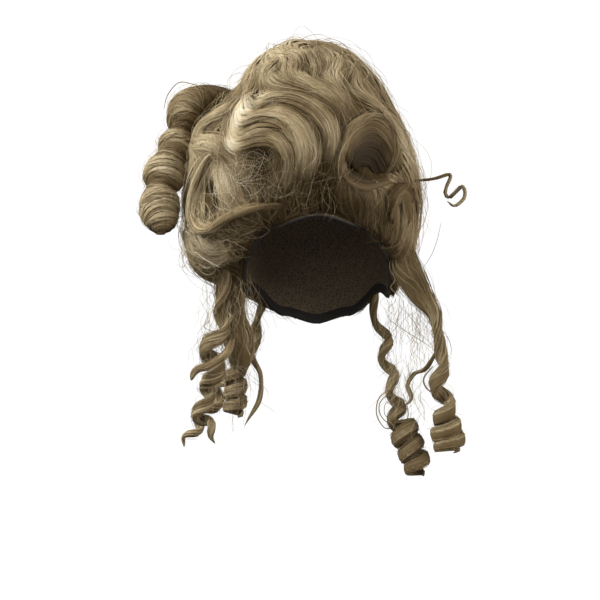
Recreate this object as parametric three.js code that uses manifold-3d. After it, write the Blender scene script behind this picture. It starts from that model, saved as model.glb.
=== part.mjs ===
// Tall waved costume wig: a net cap with a bound edge, a swept-up crown of waved hair, rolled curls
// on its front, one fat curl at its upper left side, and ringlets that hang beside the face.
// Millimetres, +Z up. The face opening looks along -Y, and +X is on the viewer's right.
// The origin is the point inside the cap that the top of the head touches.
import * as THREE from "three";
import { ParametricGeometry } from "three/addons/geometries/ParametricGeometry.js";
import { mergeVertices } from "three/addons/utils/BufferGeometryUtils.js";
import Module from "manifold-3d";

const wasm = await Module();
wasm.setup();

// Driving dimensions
const HEAD = { halfBreadth: 73, halfLength: 94, crownHeight: 100 };
const CAP_WALL = 2;
const PIECE_GAP = 0.35;
const BAND = { width: 9, thickness: 1.2 };
const CAP_GRID = { slices: 32, rows: 7 };
const CROWN_GRID = { slices: 28, rows: 12 };
const CROWN_AXIS = { x: -10, y: 6 };
const CROWN_TOP = { x: -5, z: 131 };
const CROWN_PARTING_Y = 20;
const ROOT = { aboveEdge: 3, thickness: 3 };
const ROLL_RIM = 6;

// How blunt the rounded ends are, and how near to the crown's tip and sides a place on its front may lie.
const LOCK_END_POWER = 5;
const FAT_CURL_END_POWER = 9;
const NEAR_TIP = 0.97;
const NEAR_SIDE = 0.998;
const SEARCH_STEPS = 24;
const MERGE_DISTANCE = 1e-3;

// Height of the cap's edge round the head. Azimuth 0 is the forehead and 90 is over the viewer's right ear.
const CAP_EDGE = [
  { azimuth: 0, z: -49 },
  { azimuth: 45, z: -61 },
  { azimuth: 72, z: -90 },
  { azimuth: 92, z: -126 },
  { azimuth: 118, z: -120 },
  { azimuth: 150, z: -144 },
  { azimuth: 180, z: -152 },
];

// Rings of the crown's outer surface, from the flare over the hairline to the tip.
// front, right, back and left are radii from the crown's axis.
const CROWN_RINGS = [
  { name: "flare", front: 96, right: 98, back: 104, left: 109, zFront: -36, zSide: -97, zBack: -132 },
  { name: "low", front: 111, right: 107, back: 120, left: 117, zFront: -14, zSide: -74, zBack: -95 },
  { name: "belly", front: 118, right: 107, back: 126, left: 117, zFront: 14, zSide: -38, zBack: -45 },
  { name: "shoulder", front: 113, right: 101, back: 121, left: 117, zFront: 42, zSide: 6, zBack: 5 },
  { name: "slope", front: 98, right: 86, back: 105, left: 103, zFront: 68, zSide: 44, zBack: 44 },
  { name: "neck", front: 76, right: 67, back: 82, left: 70, zFront: 93, zSide: 80, zBack: 80 },
  { name: "tip", front: 48, right: 48, back: 53, left: 40, zFront: 114, zSide: 109, zBack: 109 },
  { name: "cap", front: 22, right: 29, back: 24, left: 13, zFront: 127, zSide: 126, zBack: 126 },
];

// Waved locks on the front and sides of the crown. Each path row is [x, z, lift off the crown's surface].
const WAVES = [
  { name: "arc_left", width: 22, thickness: 13,
    path: [[-8, 125, 1], [-34, 118, 2], [-52, 104, 3], [-63, 87, 2], [-70, 66, -1]] },
  { name: "arc_middle", width: 22, thickness: 13,
    path: [[-26, 110, 0], [-43, 96, 2], [-46, 84, 3], [-33, 72, 3], [-10, 66, -1]] },
  { name: "fall_middle", width: 20, thickness: 13,
    path: [[-8, 114, 0], [-24, 97, 2], [-24, 84, 3], [-12, 75, 3], [4, 64, 3], [17, 53, 1],
      [28, 44, -2]] },
  { name: "fall_right", width: 20, thickness: 13,
    path: [[10, 114, 0], [19, 94, 2], [11, 75, 3], [18, 59, 3], [32, 48, -1]] },
  { name: "contour_right", width: 26, thickness: 14,
    path: [[20, 122, 0], [45, 95, 2], [64, 73, 2], [80, 50, 2], [91, 22, 2], [100, -7, 1], [104, -37, 1],
      [104, -68, -1]] },
  { name: "inner_right", width: 20, thickness: 14,
    path: [[20, 108, 0], [32, 88, 2], [34, 70, 3], [50, 54, 3], [70, 35, 3], [82, 4, 2], [91, -28, -1]] },
  { name: "front_wave", width: 27, thickness: 19,
    path: [[-57, 68, 0], [-66, 51, 4], [-67, 37, 5], [-53, 34, 6], [-33, 37, 8], [-16, 26, 8], [-9, 6, 7],
      [-18, -18, 0]] },
  { name: "front_wave_inner", width: 17, thickness: 12,
    path: [[-72, 48, 0], [-78, 30, 3], [-73, 17, 4], [-57, 21, 5], [-38, 21, 6], [-25, 6, 5],
      [-30, -24, 0]] },
  { name: "front_wave_outer", width: 22, thickness: 16,
    path: [[-58, 58, 0], [-42, 55, 4], [-20, 53, 5], [-1, 43, 6], [10, 24, 5], [8, 0, 0]] },
  { name: "left_wave", width: 22, thickness: 14,
    path: [[-80, 62, 0], [-94, 48, 2], [-107, 34, 3], [-110, 23, 3], [-96, 20, 4], [-82, 12, 1]] },
  { name: "left_side_wave", width: 24, thickness: 14,
    path: [[-96, 58, 0], [-111, 40, 2], [-116, 22, 2], [-111, 8, 2], [-118, -10, 2], [-123, -36, 2],
      [-122, -64, 0]] },
  { name: "left_puff", width: 34, thickness: 24,
    path: [[-119, -48, 0], [-116, -68, 2], [-103, -79, 3], [-86, -77, 1]] },
];

// Locks that are brushed up over the sides and back, spread evenly between two azimuths. They sway in
// turn, one after another, in three phases.
const BACK_LOCKS = { count: 6, from: 100, to: 265, low: 0.06, high: 0.92, sway: 6, waves: 1.2, lift: -3,
  width: 50, thickness: 16, tip: 0.5, steps: 8, phases: 3 };

// Hollows in the crown, under the right roll and in the left loop. Radii across, deep and up.
const HOLLOWS = [
  { name: "under_right_roll", x: 44, z: 5, lift: -3, across: 17, deep: 16, up: 23 },
  { name: "in_left_loop", x: -103, z: -32, lift: -2, across: 7, deep: 16, up: 18 },
];

const HOLLOW_GRID = { around: 12, rows: 9 };

// Rolled curls on the crown: a band of hair whose width runs into the crown. Path rows are [x, z, lift].
const ROLLS = [
  { name: "loop_roll_left", width: 26, thickness: 9, steps: 16,
    path: [[-92, 18, 0], [-102, 6, 4], [-109, -11, 6], [-113, -29, 8], [-113, -45, 10], [-107, -56, 12],
      [-97, -57, 12], [-84, -47, 11], [-65, -39, 9], [-44, -38, 2]] },
  { name: "barrel_roll_right", width: 30, thickness: 9, steps: 15,
    path: [[20, -22, -2], [19, -2, 5], [22, 16, 7], [30, 32, 8], [42, 41, 9], [55, 38, 8], [64, 24, 7],
      [69, 8, 4], [70, -8, -2]] },
  { name: "small_roll_right", width: 18, thickness: 7, steps: 9,
    path: [[67, -46, 0], [67, -30, 5], [74, -20, 6], [83, -22, 6], [89, -40, 0]] },
];

// The fat curl at the upper left. Rows are [x, y, z, radius] along its middle, in four lumps that swell
// between narrow places.
const FAT_CURL = { name: "barrel_curl_left", turns: 6.5, groove: 0.08, sides: 10, steps: 32,
  middle: [[-68, -10, 66, 10], [-86, -14, 70, 12], [-104, -20, 71, 13], [-118, -24, 68, 15],
    [-129, -26, 60, 17], [-132, -28, 47, 16], [-134, -30, 35, 13], [-138, -33, 23, 17.5],
    [-143, -36, 11, 17], [-147, -39, 0, 18.5], [-151, -42, -11, 20.5], [-153, -44, -20, 15.5],
    [-153, -47, -32, 19.5], [-153, -50, -44, 20], [-152, -51, -54, 18.5], [-152, -52, -63, 15]] };

// Hanging locks and ringlets, wound round a middle line. The winding is at the front at a quarter turn.
// Rows are [x, y, z, coil radius, turns so far, lock width, lock thickness].
const HANGING = [
  { name: "temple_lock_left", sides: 8, steps: 12,
    rows: [[-86, 2, -82, 0, 0.2, 34, 20], [-86, 3, -112, 2, 0.25, 34, 22], [-84, 5, -140, 3, 0.35, 32, 20],
      [-80, 8, -165, 3, 0.2, 32, 20], [-75, 10, -188, 3, 0.3, 24, 16], [-74, 10, -202, 2, 0.25, 12, 9]] },
  { name: "ringlet_left_front", sides: 6, steps: 34,
    rows: [[-93, -14, -78, 0, 0, 18, 10], [-91, -14, -120, 2, 0.4, 16, 9], [-97, -14, -151, 7, 0.9, 15, 8],
      [-104, -14, -177, 9, 1.5, 15, 8], [-103, -14, -203, 8, 2.2, 14, 8], [-110, -14, -222, 6, 2.9, 13, 7],
      [-114, -14, -244, 7, 3.6, 12, 7], [-106, -14, -257, 5, 4.2, 9, 6], [-100, -14, -270, 1, 4.5, 6, 4]] },
  { name: "ringlet_left_back", sides: 6, steps: 30,
    rows: [[-82, 46, -96, 0, 0.2, 15, 8], [-80, 44, -140, 2, 0.5, 13, 8], [-80, 40, -175, 5, 1.2, 13, 7],
      [-82, 37, -200, 8, 2.1, 13, 7], [-83, 36, -216, 9, 3, 14, 7], [-83, 36, -230, 9, 3.9, 13, 7],
      [-84, 36, -242, 9, 4.8, 10, 6], [-84, 36, -248, 4, 5.1, 5, 4]] },
  { name: "ringlet_left_nape", sides: 6, steps: 24,
    rows: [[-52, 80, -112, 0, 0, 13, 7], [-64, 78, -165, 4, 0.8, 12, 7], [-88, 72, -206, 8, 2, 12, 7],
      [-112, 66, -240, 8, 3.2, 11, 6], [-130, 61, -266, 6, 4.2, 8, 5], [-138, 58, -280, 2, 4.8, 4, 3]] },
  { name: "tendril_left", sides: 5, steps: 12,
    rows: [[-84, 27, -98, 0, 0.2, 7, 4], [-72, 26, -155, 1, 0.5, 7, 4], [-66, 24, -186, 1, 0.8, 6, 4],
      [-58, 20, -205, 1, 1, 5, 4], [-59, 16, -230, 1, 1.2, 5, 3], [-73, 14, -255, 0, 1.4, 2.5, 2]] },
  { name: "flick_left", sides: 6, steps: 10,
    rows: [[-82, 0, -152, 0, 0.25, 8, 5], [-88, -24, -178, 0, 0.25, 8, 5], [-104, -34, -191, 0, 0.25, 8, 5],
      [-119, -33, -197, 0, 0.25, 7, 4.5], [-124, -30, -207, 0, 0.25, 5, 3.5]] },
  { name: "ringlet_right_front", sides: 6, steps: 38,
    rows: [[83, -22, -62, 0, 0.2, 38, 14], [88, -24, -95, 0, 0.22, 38, 15], [101, -25, -122, 1, 0.25, 25, 12],
      [116, -25, -142, 2, 0.35, 15, 10], [122, -24, -164, 3, 0.6, 13, 9], [121, -22, -186, 3, 0.9, 13, 9],
      [122, -21, -208, 8, 1.4, 15, 8], [126, -20, -232, 7, 2, 14, 8], [127, -19, -248, 10, 2.7, 14, 8],
      [129, -18, -260, 14, 3.6, 15, 8], [130, -18, -272, 13, 4.5, 13, 7], [131, -18, -279, 8, 5.2, 8, 5]] },
  { name: "ringlet_right_back", sides: 6, steps: 42,
    rows: [[62, 62, -110, 0, 0, 14, 8], [60, 48, -140, 2, 0.4, 11, 8], [70, 34, -168, 4, 1, 10, 7],
      [71, 24, -192, 5, 1.7, 10, 7], [78, 12, -216, 6, 2.4, 10, 7], [80, 4, -238, 7, 3.1, 12, 7],
      [86, -3, -256, 12, 4, 14, 7], [91, -6, -270, 12, 4.9, 14, 7], [97, -8, -284, 12, 5.8, 14, 7],
      [100, -9, -298, 10, 6.7, 11, 6], [101, -9, -304, 4, 7, 6, 4]] },
  { name: "tendril_right", sides: 5, steps: 12,
    rows: [[119, -22, -176, 0, 0.2, 5, 3], [108, -14, -196, 0, 0.2, 5, 3], [97, -8, -201, 0, 0.2, 4, 3],
      [90, -6, -213, 0, 0.2, 4, 3], [94, -6, -225, 0, 0.2, 4, 3], [89, -6, -233, 0, 0.2, 3, 2]] },
  { name: "stray_curl_right", sides: 4, steps: 28,
    rows: [[90, -12, -10, 0, 0.2, 3, 2.6], [115, -14, -8, 0, 0.2, 3, 2.6], [132, -14, -4, 0, 0.2, 3, 2.6],
      [127, -11, -20, 0, 0.2, 3, 2.6], [132, -9, -26, 0, 0.2, 3, 2.6], [144, -12, -15, 0, 0.2, 3, 2.6],
      [146, -15, -26, 0, 0.2, 3, 2.6], [136, -18, -35, 0, 0.2, 3, 2.6], [128, -19, -30, 0, 0.2, 2.4, 2]] },
];

const HAIR_COLOURS = { light: 0xb9a27a, middle: 0x9b845c, dark: 0x6f5a38 };

function hairMaterial(colour) {
  return new THREE.MeshStandardMaterial({ color: colour, roughness: 0.5, metalness: 0 });
}

// A parametric surface, closed on itself, as a solid that manifold-3d can join and cut.
function solidFrom(geometry) {
  geometry.deleteAttribute("normal");
  geometry.deleteAttribute("uv");
  const merged = mergeVertices(geometry, MERGE_DISTANCE);
  const corners = merged.index.array;
  const kept = [];
  for (let i = 0; i < corners.length; i += 3) {
    const [a, b, c] = [corners[i], corners[i + 1], corners[i + 2]];
    if (a !== b && b !== c && c !== a) kept.push(a, b, c);
  }
  const vertProperties = merged.attributes.position.array;
  const build = () => new wasm.Manifold(
    new wasm.Mesh({ numProp: 3, vertProperties, triVerts: new Uint32Array(kept) }),
  );
  const solid = build();
  if (solid.volume() > 0) return solid;
  for (let i = 0; i < kept.length; i += 3) [kept[i + 1], kept[i + 2]] = [kept[i + 2], kept[i + 1]];
  return build();
}

function meshOf(name, solid, colour) {
  const made = solid.getMesh();
  const geometry = new THREE.BufferGeometry();
  geometry.setAttribute("position", new THREE.BufferAttribute(made.vertProperties, 3));
  geometry.setIndex(new THREE.BufferAttribute(made.triVerts, 1));
  geometry.computeVertexNormals();
  const mesh = new THREE.Mesh(geometry, hairMaterial(colour));
  mesh.name = name;
  return mesh;
}

function smoothCurve(points) {
  return new THREE.CatmullRomCurve3(points, false, "catmullrom", 0.5);
}

// Head and cap surfaces
function edgeHeight(azimuth) {
  const turn = Math.abs(((azimuth + 540) % 360) - 180);
  const next = Math.max(1, CAP_EDGE.findIndex((row) => row.azimuth >= turn));
  const [a, b] = [CAP_EDGE[next - 1], CAP_EDGE[next]];
  const share = (turn - a.azimuth) / (b.azimuth - a.azimuth);
  return THREE.MathUtils.lerp(a.z, b.z, THREE.MathUtils.smoothstep(share, 0, 1));
}

// A point of the head's ellipsoid, grown by offset, at an azimuth and a height.
function headPoint(azimuth, z, offset) {
  const turn = THREE.MathUtils.degToRad(azimuth);
  const share = THREE.MathUtils.clamp((z + HEAD.crownHeight) / HEAD.crownHeight, -1, 1);
  const ring = Math.sqrt(1 - share * share);
  const outward = new THREE.Vector3(
    (ring * Math.sin(turn)) / HEAD.halfBreadth,
    (-ring * Math.cos(turn)) / HEAD.halfLength,
    share / HEAD.crownHeight,
  ).normalize();
  return new THREE.Vector3(
    HEAD.halfBreadth * ring * Math.sin(turn),
    -HEAD.halfLength * ring * Math.cos(turn),
    z,
  ).addScaledVector(outward, offset);
}

// Height of one of the cap's rows: even steps along the curve from the top, and the bound edge last.
function rowHeight(azimuth, row) {
  const edge = edgeHeight(azimuth);
  if (row === CAP_GRID.rows) return edge;
  const whole = Math.acos((edge + BAND.width) / HEAD.crownHeight + 1);
  return HEAD.crownHeight * (Math.cos((whole * row) / (CAP_GRID.rows - 1)) - 1);
}

// The cap: inside from the top to the edge, then outside from the edge back to the top.
function capSolid() {
  const rows = 2 * CAP_GRID.rows + 1;
  const surface = (u, v, target) => {
    const azimuth = 360 * u;
    const row = Math.round(v * rows);
    const inside = row <= CAP_GRID.rows;
    const height = rowHeight(azimuth, inside ? row : rows - row);
    target.copy(headPoint(azimuth, height, inside ? 0 : CAP_WALL));
  };
  return solidFrom(new ParametricGeometry(surface, CAP_GRID.slices, rows));
}

// The bound edge: a tape just inside the cap's last row, all the way round the opening.
function edgeBandSolid() {
  const corners = [
    { row: CAP_GRID.rows - 1, offset: -PIECE_GAP },
    { row: CAP_GRID.rows, offset: -PIECE_GAP },
    { row: CAP_GRID.rows, offset: -PIECE_GAP - BAND.thickness },
    { row: CAP_GRID.rows - 1, offset: -PIECE_GAP - BAND.thickness },
  ];
  const surface = (u, v, target) => {
    const azimuth = 360 * u;
    const { row, offset } = corners[Math.round(v * corners.length) % corners.length];
    target.copy(headPoint(azimuth, rowHeight(azimuth, row), offset));
  };
  return solidFrom(new ParametricGeometry(surface, CAP_GRID.slices, corners.length));
}

// The crown's outer surface
function ringPoint(ring, azimuth) {
  const turn = THREE.MathUtils.degToRad(azimuth);
  const [sine, cosine] = [Math.sin(turn), Math.cos(turn)];
  const side = sine >= 0 ? ring.right : ring.left;
  const depth = cosine >= 0 ? ring.front : ring.back;
  const zEnd = cosine >= 0 ? ring.zFront : ring.zBack;
  return new THREE.Vector3(
    CROWN_AXIS.x + side * sine,
    CROWN_AXIS.y - depth * cosine,
    ring.zSide + (zEnd - ring.zSide) * cosine * cosine,
  );
}

// A point of the crown's surface: rise is 0 at the hair's root on the cap and 1 at the tip.
function crownPoint(azimuth, rise) {
  const rootOffset = CAP_WALL + PIECE_GAP + ROOT.thickness;
  const root = headPoint(azimuth, edgeHeight(azimuth) + ROOT.aboveEdge, rootOffset);
  const top = new THREE.Vector3(CROWN_TOP.x, CROWN_AXIS.y, CROWN_TOP.z);
  return smoothCurve([root, ...CROWN_RINGS.map((ring) => ringPoint(ring, azimuth)), top]).getPoint(rise);
}

function crownNormal(azimuth, rise) {
  const below = Math.min(rise, NEAR_TIP);
  const around = crownPoint(azimuth + 1, below).sub(crownPoint(azimuth - 1, below));
  const upward = crownPoint(azimuth, below + 0.01).sub(crownPoint(azimuth, below - 0.01));
  return around.cross(upward).normalize();
}

// The place on the front half of the crown that is seen at x, z from straight in front.
function onFront(x, z) {
  const side = x > CROWN_AXIS.x ? 90 : -90;
  const azimuthAt = (rise) => {
    const reach = crownPoint(side, rise).x - CROWN_AXIS.x;
    const sine = THREE.MathUtils.clamp(Math.abs((x - CROWN_AXIS.x) / reach), 0, NEAR_SIDE);
    return Math.sign(side) * THREE.MathUtils.radToDeg(Math.asin(sine));
  };
  let [low, high] = [0, NEAR_TIP];
  for (let i = 0; i < SEARCH_STEPS; i++) {
    const rise = (low + high) / 2;
    if (crownPoint(azimuthAt(rise), rise).z < z) low = rise;
    else high = rise;
  }
  return spotAt(azimuthAt(low), low);
}

function spotAt(azimuth, rise) {
  return { point: crownPoint(azimuth, rise), normal: crownNormal(azimuth, rise) };
}

// Locks of hair
// A lock is an oval section swept along a path and rounded at both ends. across(v, tangent) is the
// section's wide way, and sizeAt(v) gives its width and thickness.
function lockSolid({ path, across, sizeAt, sides = 6, steps, grow = 0 }) {
  const surface = (u, v, target) => {
    const tangent = path.getTangent(v);
    target.copy(path.getPoint(v));
    if (v === 0 || v === 1) {
      target.addScaledVector(tangent, v === 0 ? -grow : grow);
      return;
    }
    const wide = across(v, tangent);
    wide.addScaledVector(tangent, -wide.dot(tangent)).normalize();
    const thin = tangent.cross(wide);
    const { width, thickness } = sizeAt(v);
    const end = Math.sqrt(1 - Math.abs(2 * v - 1) ** LOCK_END_POWER);
    const turn = 2 * Math.PI * u;
    target.addScaledVector(wide, (end * width / 2 + grow) * Math.cos(turn));
    target.addScaledVector(thin, (end * thickness / 2 + grow) * Math.sin(turn));
  };
  return solidFrom(new ParametricGeometry(surface, sides, steps));
}

// A lock that lies on the crown, its wide way along the surface. tip is its size at the far end.
function surfaceLock(spots, lifts, { width, thickness, tip = 1, steps }) {
  const raised = (spot, i) => spot.point.clone().addScaledVector(spot.normal, lifts[i]);
  const path = smoothCurve(spots.map(raised));
  const normals = smoothCurve(spots.map((spot) => spot.normal));
  const across = (v, tangent) => normals.getPoint(v).cross(tangent);
  const sizeAt = (v) => {
    const share = THREE.MathUtils.lerp(1, tip, v);
    return { width: width * share, thickness: thickness * share };
  };
  return lockSolid({ path, across, sizeAt, steps });
}

function waveSolid({ path, width, thickness }) {
  const spots = path.map(([x, z]) => onFront(x, z));
  return surfaceLock(spots, path.map((row) => row[2]), { width, thickness, steps: path.length + 3 });
}

// One brushed-up lock of the back: it climbs from low to high with a gentle sway.
function backLockSolid(index) {
  const { count, from, to, low, high, sway, waves, lift, steps, phases } = BACK_LOCKS;
  const azimuth = from + ((to - from) * index) / (count - 1);
  const spots = [];
  for (let i = 0; i < steps; i++) {
    const share = i / (steps - 1);
    const swing = sway * Math.sin(2 * Math.PI * (waves * share + index / phases));
    spots.push(spotAt(azimuth + swing, low + (high - low) * share));
  }
  return surfaceLock(spots, spots.map(() => lift), BACK_LOCKS);
}

function hollowSolid({ x, z, lift, across, deep, up }) {
  const { point, normal } = onFront(x, z);
  const ball = new THREE.SphereGeometry(1, HOLLOW_GRID.around, HOLLOW_GRID.rows);
  ball.scale(across, up, deep);
  const facing = new THREE.Quaternion().setFromUnitVectors(new THREE.Vector3(0, 0, 1), normal);
  ball.applyQuaternion(facing);
  ball.translate(...point.clone().addScaledVector(normal, lift).toArray());
  return solidFrom(ball);
}

// A rolled band of hair: its wide way runs from the rim into the crown.
function rollSolid({ path, width, thickness, steps }, grow) {
  const spots = path.map(([x, z]) => onFront(x, z));
  const normals = smoothCurve(spots.map((spot) => spot.normal));
  const sunk = width / 2 - ROLL_RIM;
  const middle = spots.map((spot, i) => spot.point.clone().addScaledVector(spot.normal, path[i][2] - sunk));
  const sizeAt = () => ({ width, thickness });
  return lockSolid({ path: smoothCurve(middle), across: (v) => normals.getPoint(v), sizeAt, steps, grow });
}

// The line of a hanging lock, wound round its middle line.
class CoilCurve extends THREE.Curve {
  constructor(rows) {
    super();
    this.middle = smoothCurve(rows.map(([x, y, z]) => new THREE.Vector3(x, y, z)));
    this.winding = smoothCurve(rows.map(([, , , coil, turns]) => new THREE.Vector3(coil, turns, 0)));
  }
  // The way out from the middle line to the winding.
  outward(t) {
    const tangent = this.middle.getTangent(t);
    const side = new THREE.Vector3(1, 0, 0).addScaledVector(tangent, -tangent.x).normalize();
    return side.applyAxisAngle(tangent, 2 * Math.PI * this.winding.getPoint(t).y);
  }
  getPoint(t, target = new THREE.Vector3()) {
    target.copy(this.middle.getPoint(t));
    return target.addScaledVector(this.outward(t), this.winding.getPoint(t).x);
  }
}

function hangingSolid({ rows, sides, steps }, grow) {
  const path = new CoilCurve(rows);
  const sizes = smoothCurve(rows.map((row) => new THREE.Vector3(row[5], row[6], 0)));
  const across = (v, tangent) => tangent.clone().cross(path.outward(v));
  const sizeAt = (v) => ({ width: sizes.getPoint(v).x, thickness: sizes.getPoint(v).y });
  return lockSolid({ path, across, sizeAt, sides, steps, grow });
}

// The fat curl: a tube whose wall is grooved by the turns of the hair that winds round it.
function fatCurlSolid({ middle, turns, groove, sides, steps }, grow) {
  const line = smoothCurve(middle.map(([x, y, z]) => new THREE.Vector3(x, y, z)));
  const sizes = smoothCurve(middle.map((row) => new THREE.Vector3(row[3], 0, 0)));
  const surface = (u, v, target) => {
    const tangent = line.getTangent(v);
    const turn = 2 * Math.PI * u;
    target.copy(line.getPoint(v));
    if (v === 0 || v === 1) {
      target.addScaledVector(tangent, v === 0 ? -grow : grow);
      return;
    }
    const wind = 1 - groove * (1 + Math.cos(turn - 2 * Math.PI * turns * v)) / 2;
    const end = Math.sqrt(1 - Math.abs(2 * v - 1) ** FAT_CURL_END_POWER);
    const radius = sizes.getPoint(v).x * wind * end + grow;
    const wide = new THREE.Vector3(0, 1, 0).addScaledVector(tangent, -tangent.y).normalize();
    target.addScaledVector(wide, radius * Math.cos(turn));
    target.addScaledVector(tangent.clone().cross(wide), radius * Math.sin(turn));
  };
  return solidFrom(new ParametricGeometry(surface, sides, steps));
}

// What the cap and the head fill, a little larger than the cap.
function headSpaceSolid() {
  const rows = CAP_GRID.rows + 1;
  const surface = (u, v, target) => {
    const azimuth = 360 * u;
    const row = Math.round((1 - v) * rows);
    if (v === 0) target.set(0, 0, edgeHeight(180));
    else target.copy(headPoint(azimuth, rowHeight(azimuth, row), CAP_WALL + PIECE_GAP));
  };
  return solidFrom(new ParametricGeometry(surface, CAP_GRID.slices, rows));
}

// The swept-up crown: a thick wall of hair round the cap, its waved locks fused on, hollowed under
// the rolls.
function crownSolid() {
  const surface = (u, v, target) => {
    const rise = (v * (CROWN_GRID.rows + 1) - 1) / CROWN_GRID.rows;
    if (v === 0) target.set(0, 0, -ROOT.thickness);
    else target.copy(crownPoint(360 * u, Math.max(0, rise)));
  };
  let crown = solidFrom(new ParametricGeometry(surface, CROWN_GRID.slices, CROWN_GRID.rows + 1));
  WAVES.forEach((wave) => { crown = crown.add(waveSolid(wave)); });
  for (let i = 0; i < BACK_LOCKS.count; i++) crown = crown.add(backLockSolid(i));
  HOLLOWS.forEach((hollow) => { crown = crown.subtract(hollowSolid(hollow)); });
  return crown;
}

// Assembly: each piece is cut back from the pieces placed before it, with a small gap.
const wig = new THREE.Group();
const placed = [headSpaceSolid()];

function cutBack(solid) {
  return placed.reduce((left, other) => left.subtract(other), solid);
}

function place(name, make, colour) {
  wig.add(meshOf(name, cutBack(make(0)), colour));
  placed.push(make(PIECE_GAP));
}

ROLLS.forEach((roll) => place(roll.name, (grow) => rollSolid(roll, grow), HAIR_COLOURS.light));
place(FAT_CURL.name, (grow) => fatCurlSolid(FAT_CURL, grow), HAIR_COLOURS.light);
HANGING.forEach((lock) => place(lock.name, (grow) => hangingSolid(lock, grow), HAIR_COLOURS.middle));

// The crown parts behind the ears into its waved front and its brushed-up back.
const crown = cutBack(crownSolid());
const front = crown.trimByPlane([0, -1, 0], PIECE_GAP / 2 - CROWN_PARTING_Y);
const back = crown.trimByPlane([0, 1, 0], PIECE_GAP / 2 + CROWN_PARTING_Y);
wig.add(meshOf("crown_front", front, HAIR_COLOURS.middle));
wig.add(meshOf("crown_back", back, HAIR_COLOURS.middle));
wig.add(meshOf("wig_cap", capSolid(), HAIR_COLOURS.dark));
wig.add(meshOf("edge_band", edgeBandSolid(), HAIR_COLOURS.dark));

export default wig;
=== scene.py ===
import math

import bpy
import numpy as np
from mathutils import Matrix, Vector


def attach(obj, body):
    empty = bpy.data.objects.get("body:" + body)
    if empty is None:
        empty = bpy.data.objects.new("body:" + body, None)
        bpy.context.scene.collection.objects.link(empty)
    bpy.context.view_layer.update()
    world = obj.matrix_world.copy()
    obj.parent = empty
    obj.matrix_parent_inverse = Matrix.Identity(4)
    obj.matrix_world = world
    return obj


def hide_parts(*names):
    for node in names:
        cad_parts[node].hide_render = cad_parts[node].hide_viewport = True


# The looks of a tall waved costume wig: locks of hair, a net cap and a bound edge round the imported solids.
# The tables give the part's own sizes in millimetres, and meshes are made in metres.
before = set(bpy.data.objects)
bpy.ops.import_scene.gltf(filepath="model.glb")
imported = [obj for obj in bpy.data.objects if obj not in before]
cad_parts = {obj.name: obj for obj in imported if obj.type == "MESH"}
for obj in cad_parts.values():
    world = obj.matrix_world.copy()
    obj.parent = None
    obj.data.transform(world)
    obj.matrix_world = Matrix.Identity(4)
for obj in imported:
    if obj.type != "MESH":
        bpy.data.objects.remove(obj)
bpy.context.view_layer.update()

SEED = 1780
MM = 0.001
rng = np.random.default_rng(SEED)

# Head, cap and crown, as in the solids
HEAD = np.array([73.0, 94.0, 100.0])
CAP_WALL = 2.0
PIECE_GAP = 0.35
BAND_WIDTH = 9.0
BAND_THICKNESS = 1.2
ROOT_ABOVE_EDGE = 3.0
ROOT_OFFSET = CAP_WALL + PIECE_GAP + 3.0
CROWN_AXIS = (-10.0, 6.0)
CROWN_TOP = (-5.0, 6.0, 131.0)
ROLL_RIM = 6.0
LOCK_END_POWER = 5
FAT_CURL_END_POWER = 9
NEAR_TIP = 0.97
NEAR_SIDE = 0.998
SEARCH_STEPS = 24

# Height of the cap's edge: azimuth 0 is the forehead and 90 is over the viewer's right ear.
CAP_EDGE_AZIMUTH = [0, 45, 72, 92, 118, 150, 180]
CAP_EDGE_Z = [-49, -61, -90, -126, -120, -144, -152]

# Rings of the crown from the flare over the hairline to the tip.
# Columns: front, right, back, left radius, then z at the front, sides and back.
CROWN_RINGS = [
    (96, 98, 104, 109, -36, -97, -132),
    (111, 107, 120, 117, -14, -74, -95),
    (118, 107, 126, 117, 14, -38, -45),
    (113, 101, 121, 117, 42, 6, 5),
    (98, 86, 105, 103, 68, 44, 44),
    (76, 67, 82, 70, 93, 80, 80),
    (48, 48, 53, 40, 114, 109, 109),
    (22, 29, 24, 13, 127, 126, 126),
]

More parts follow.
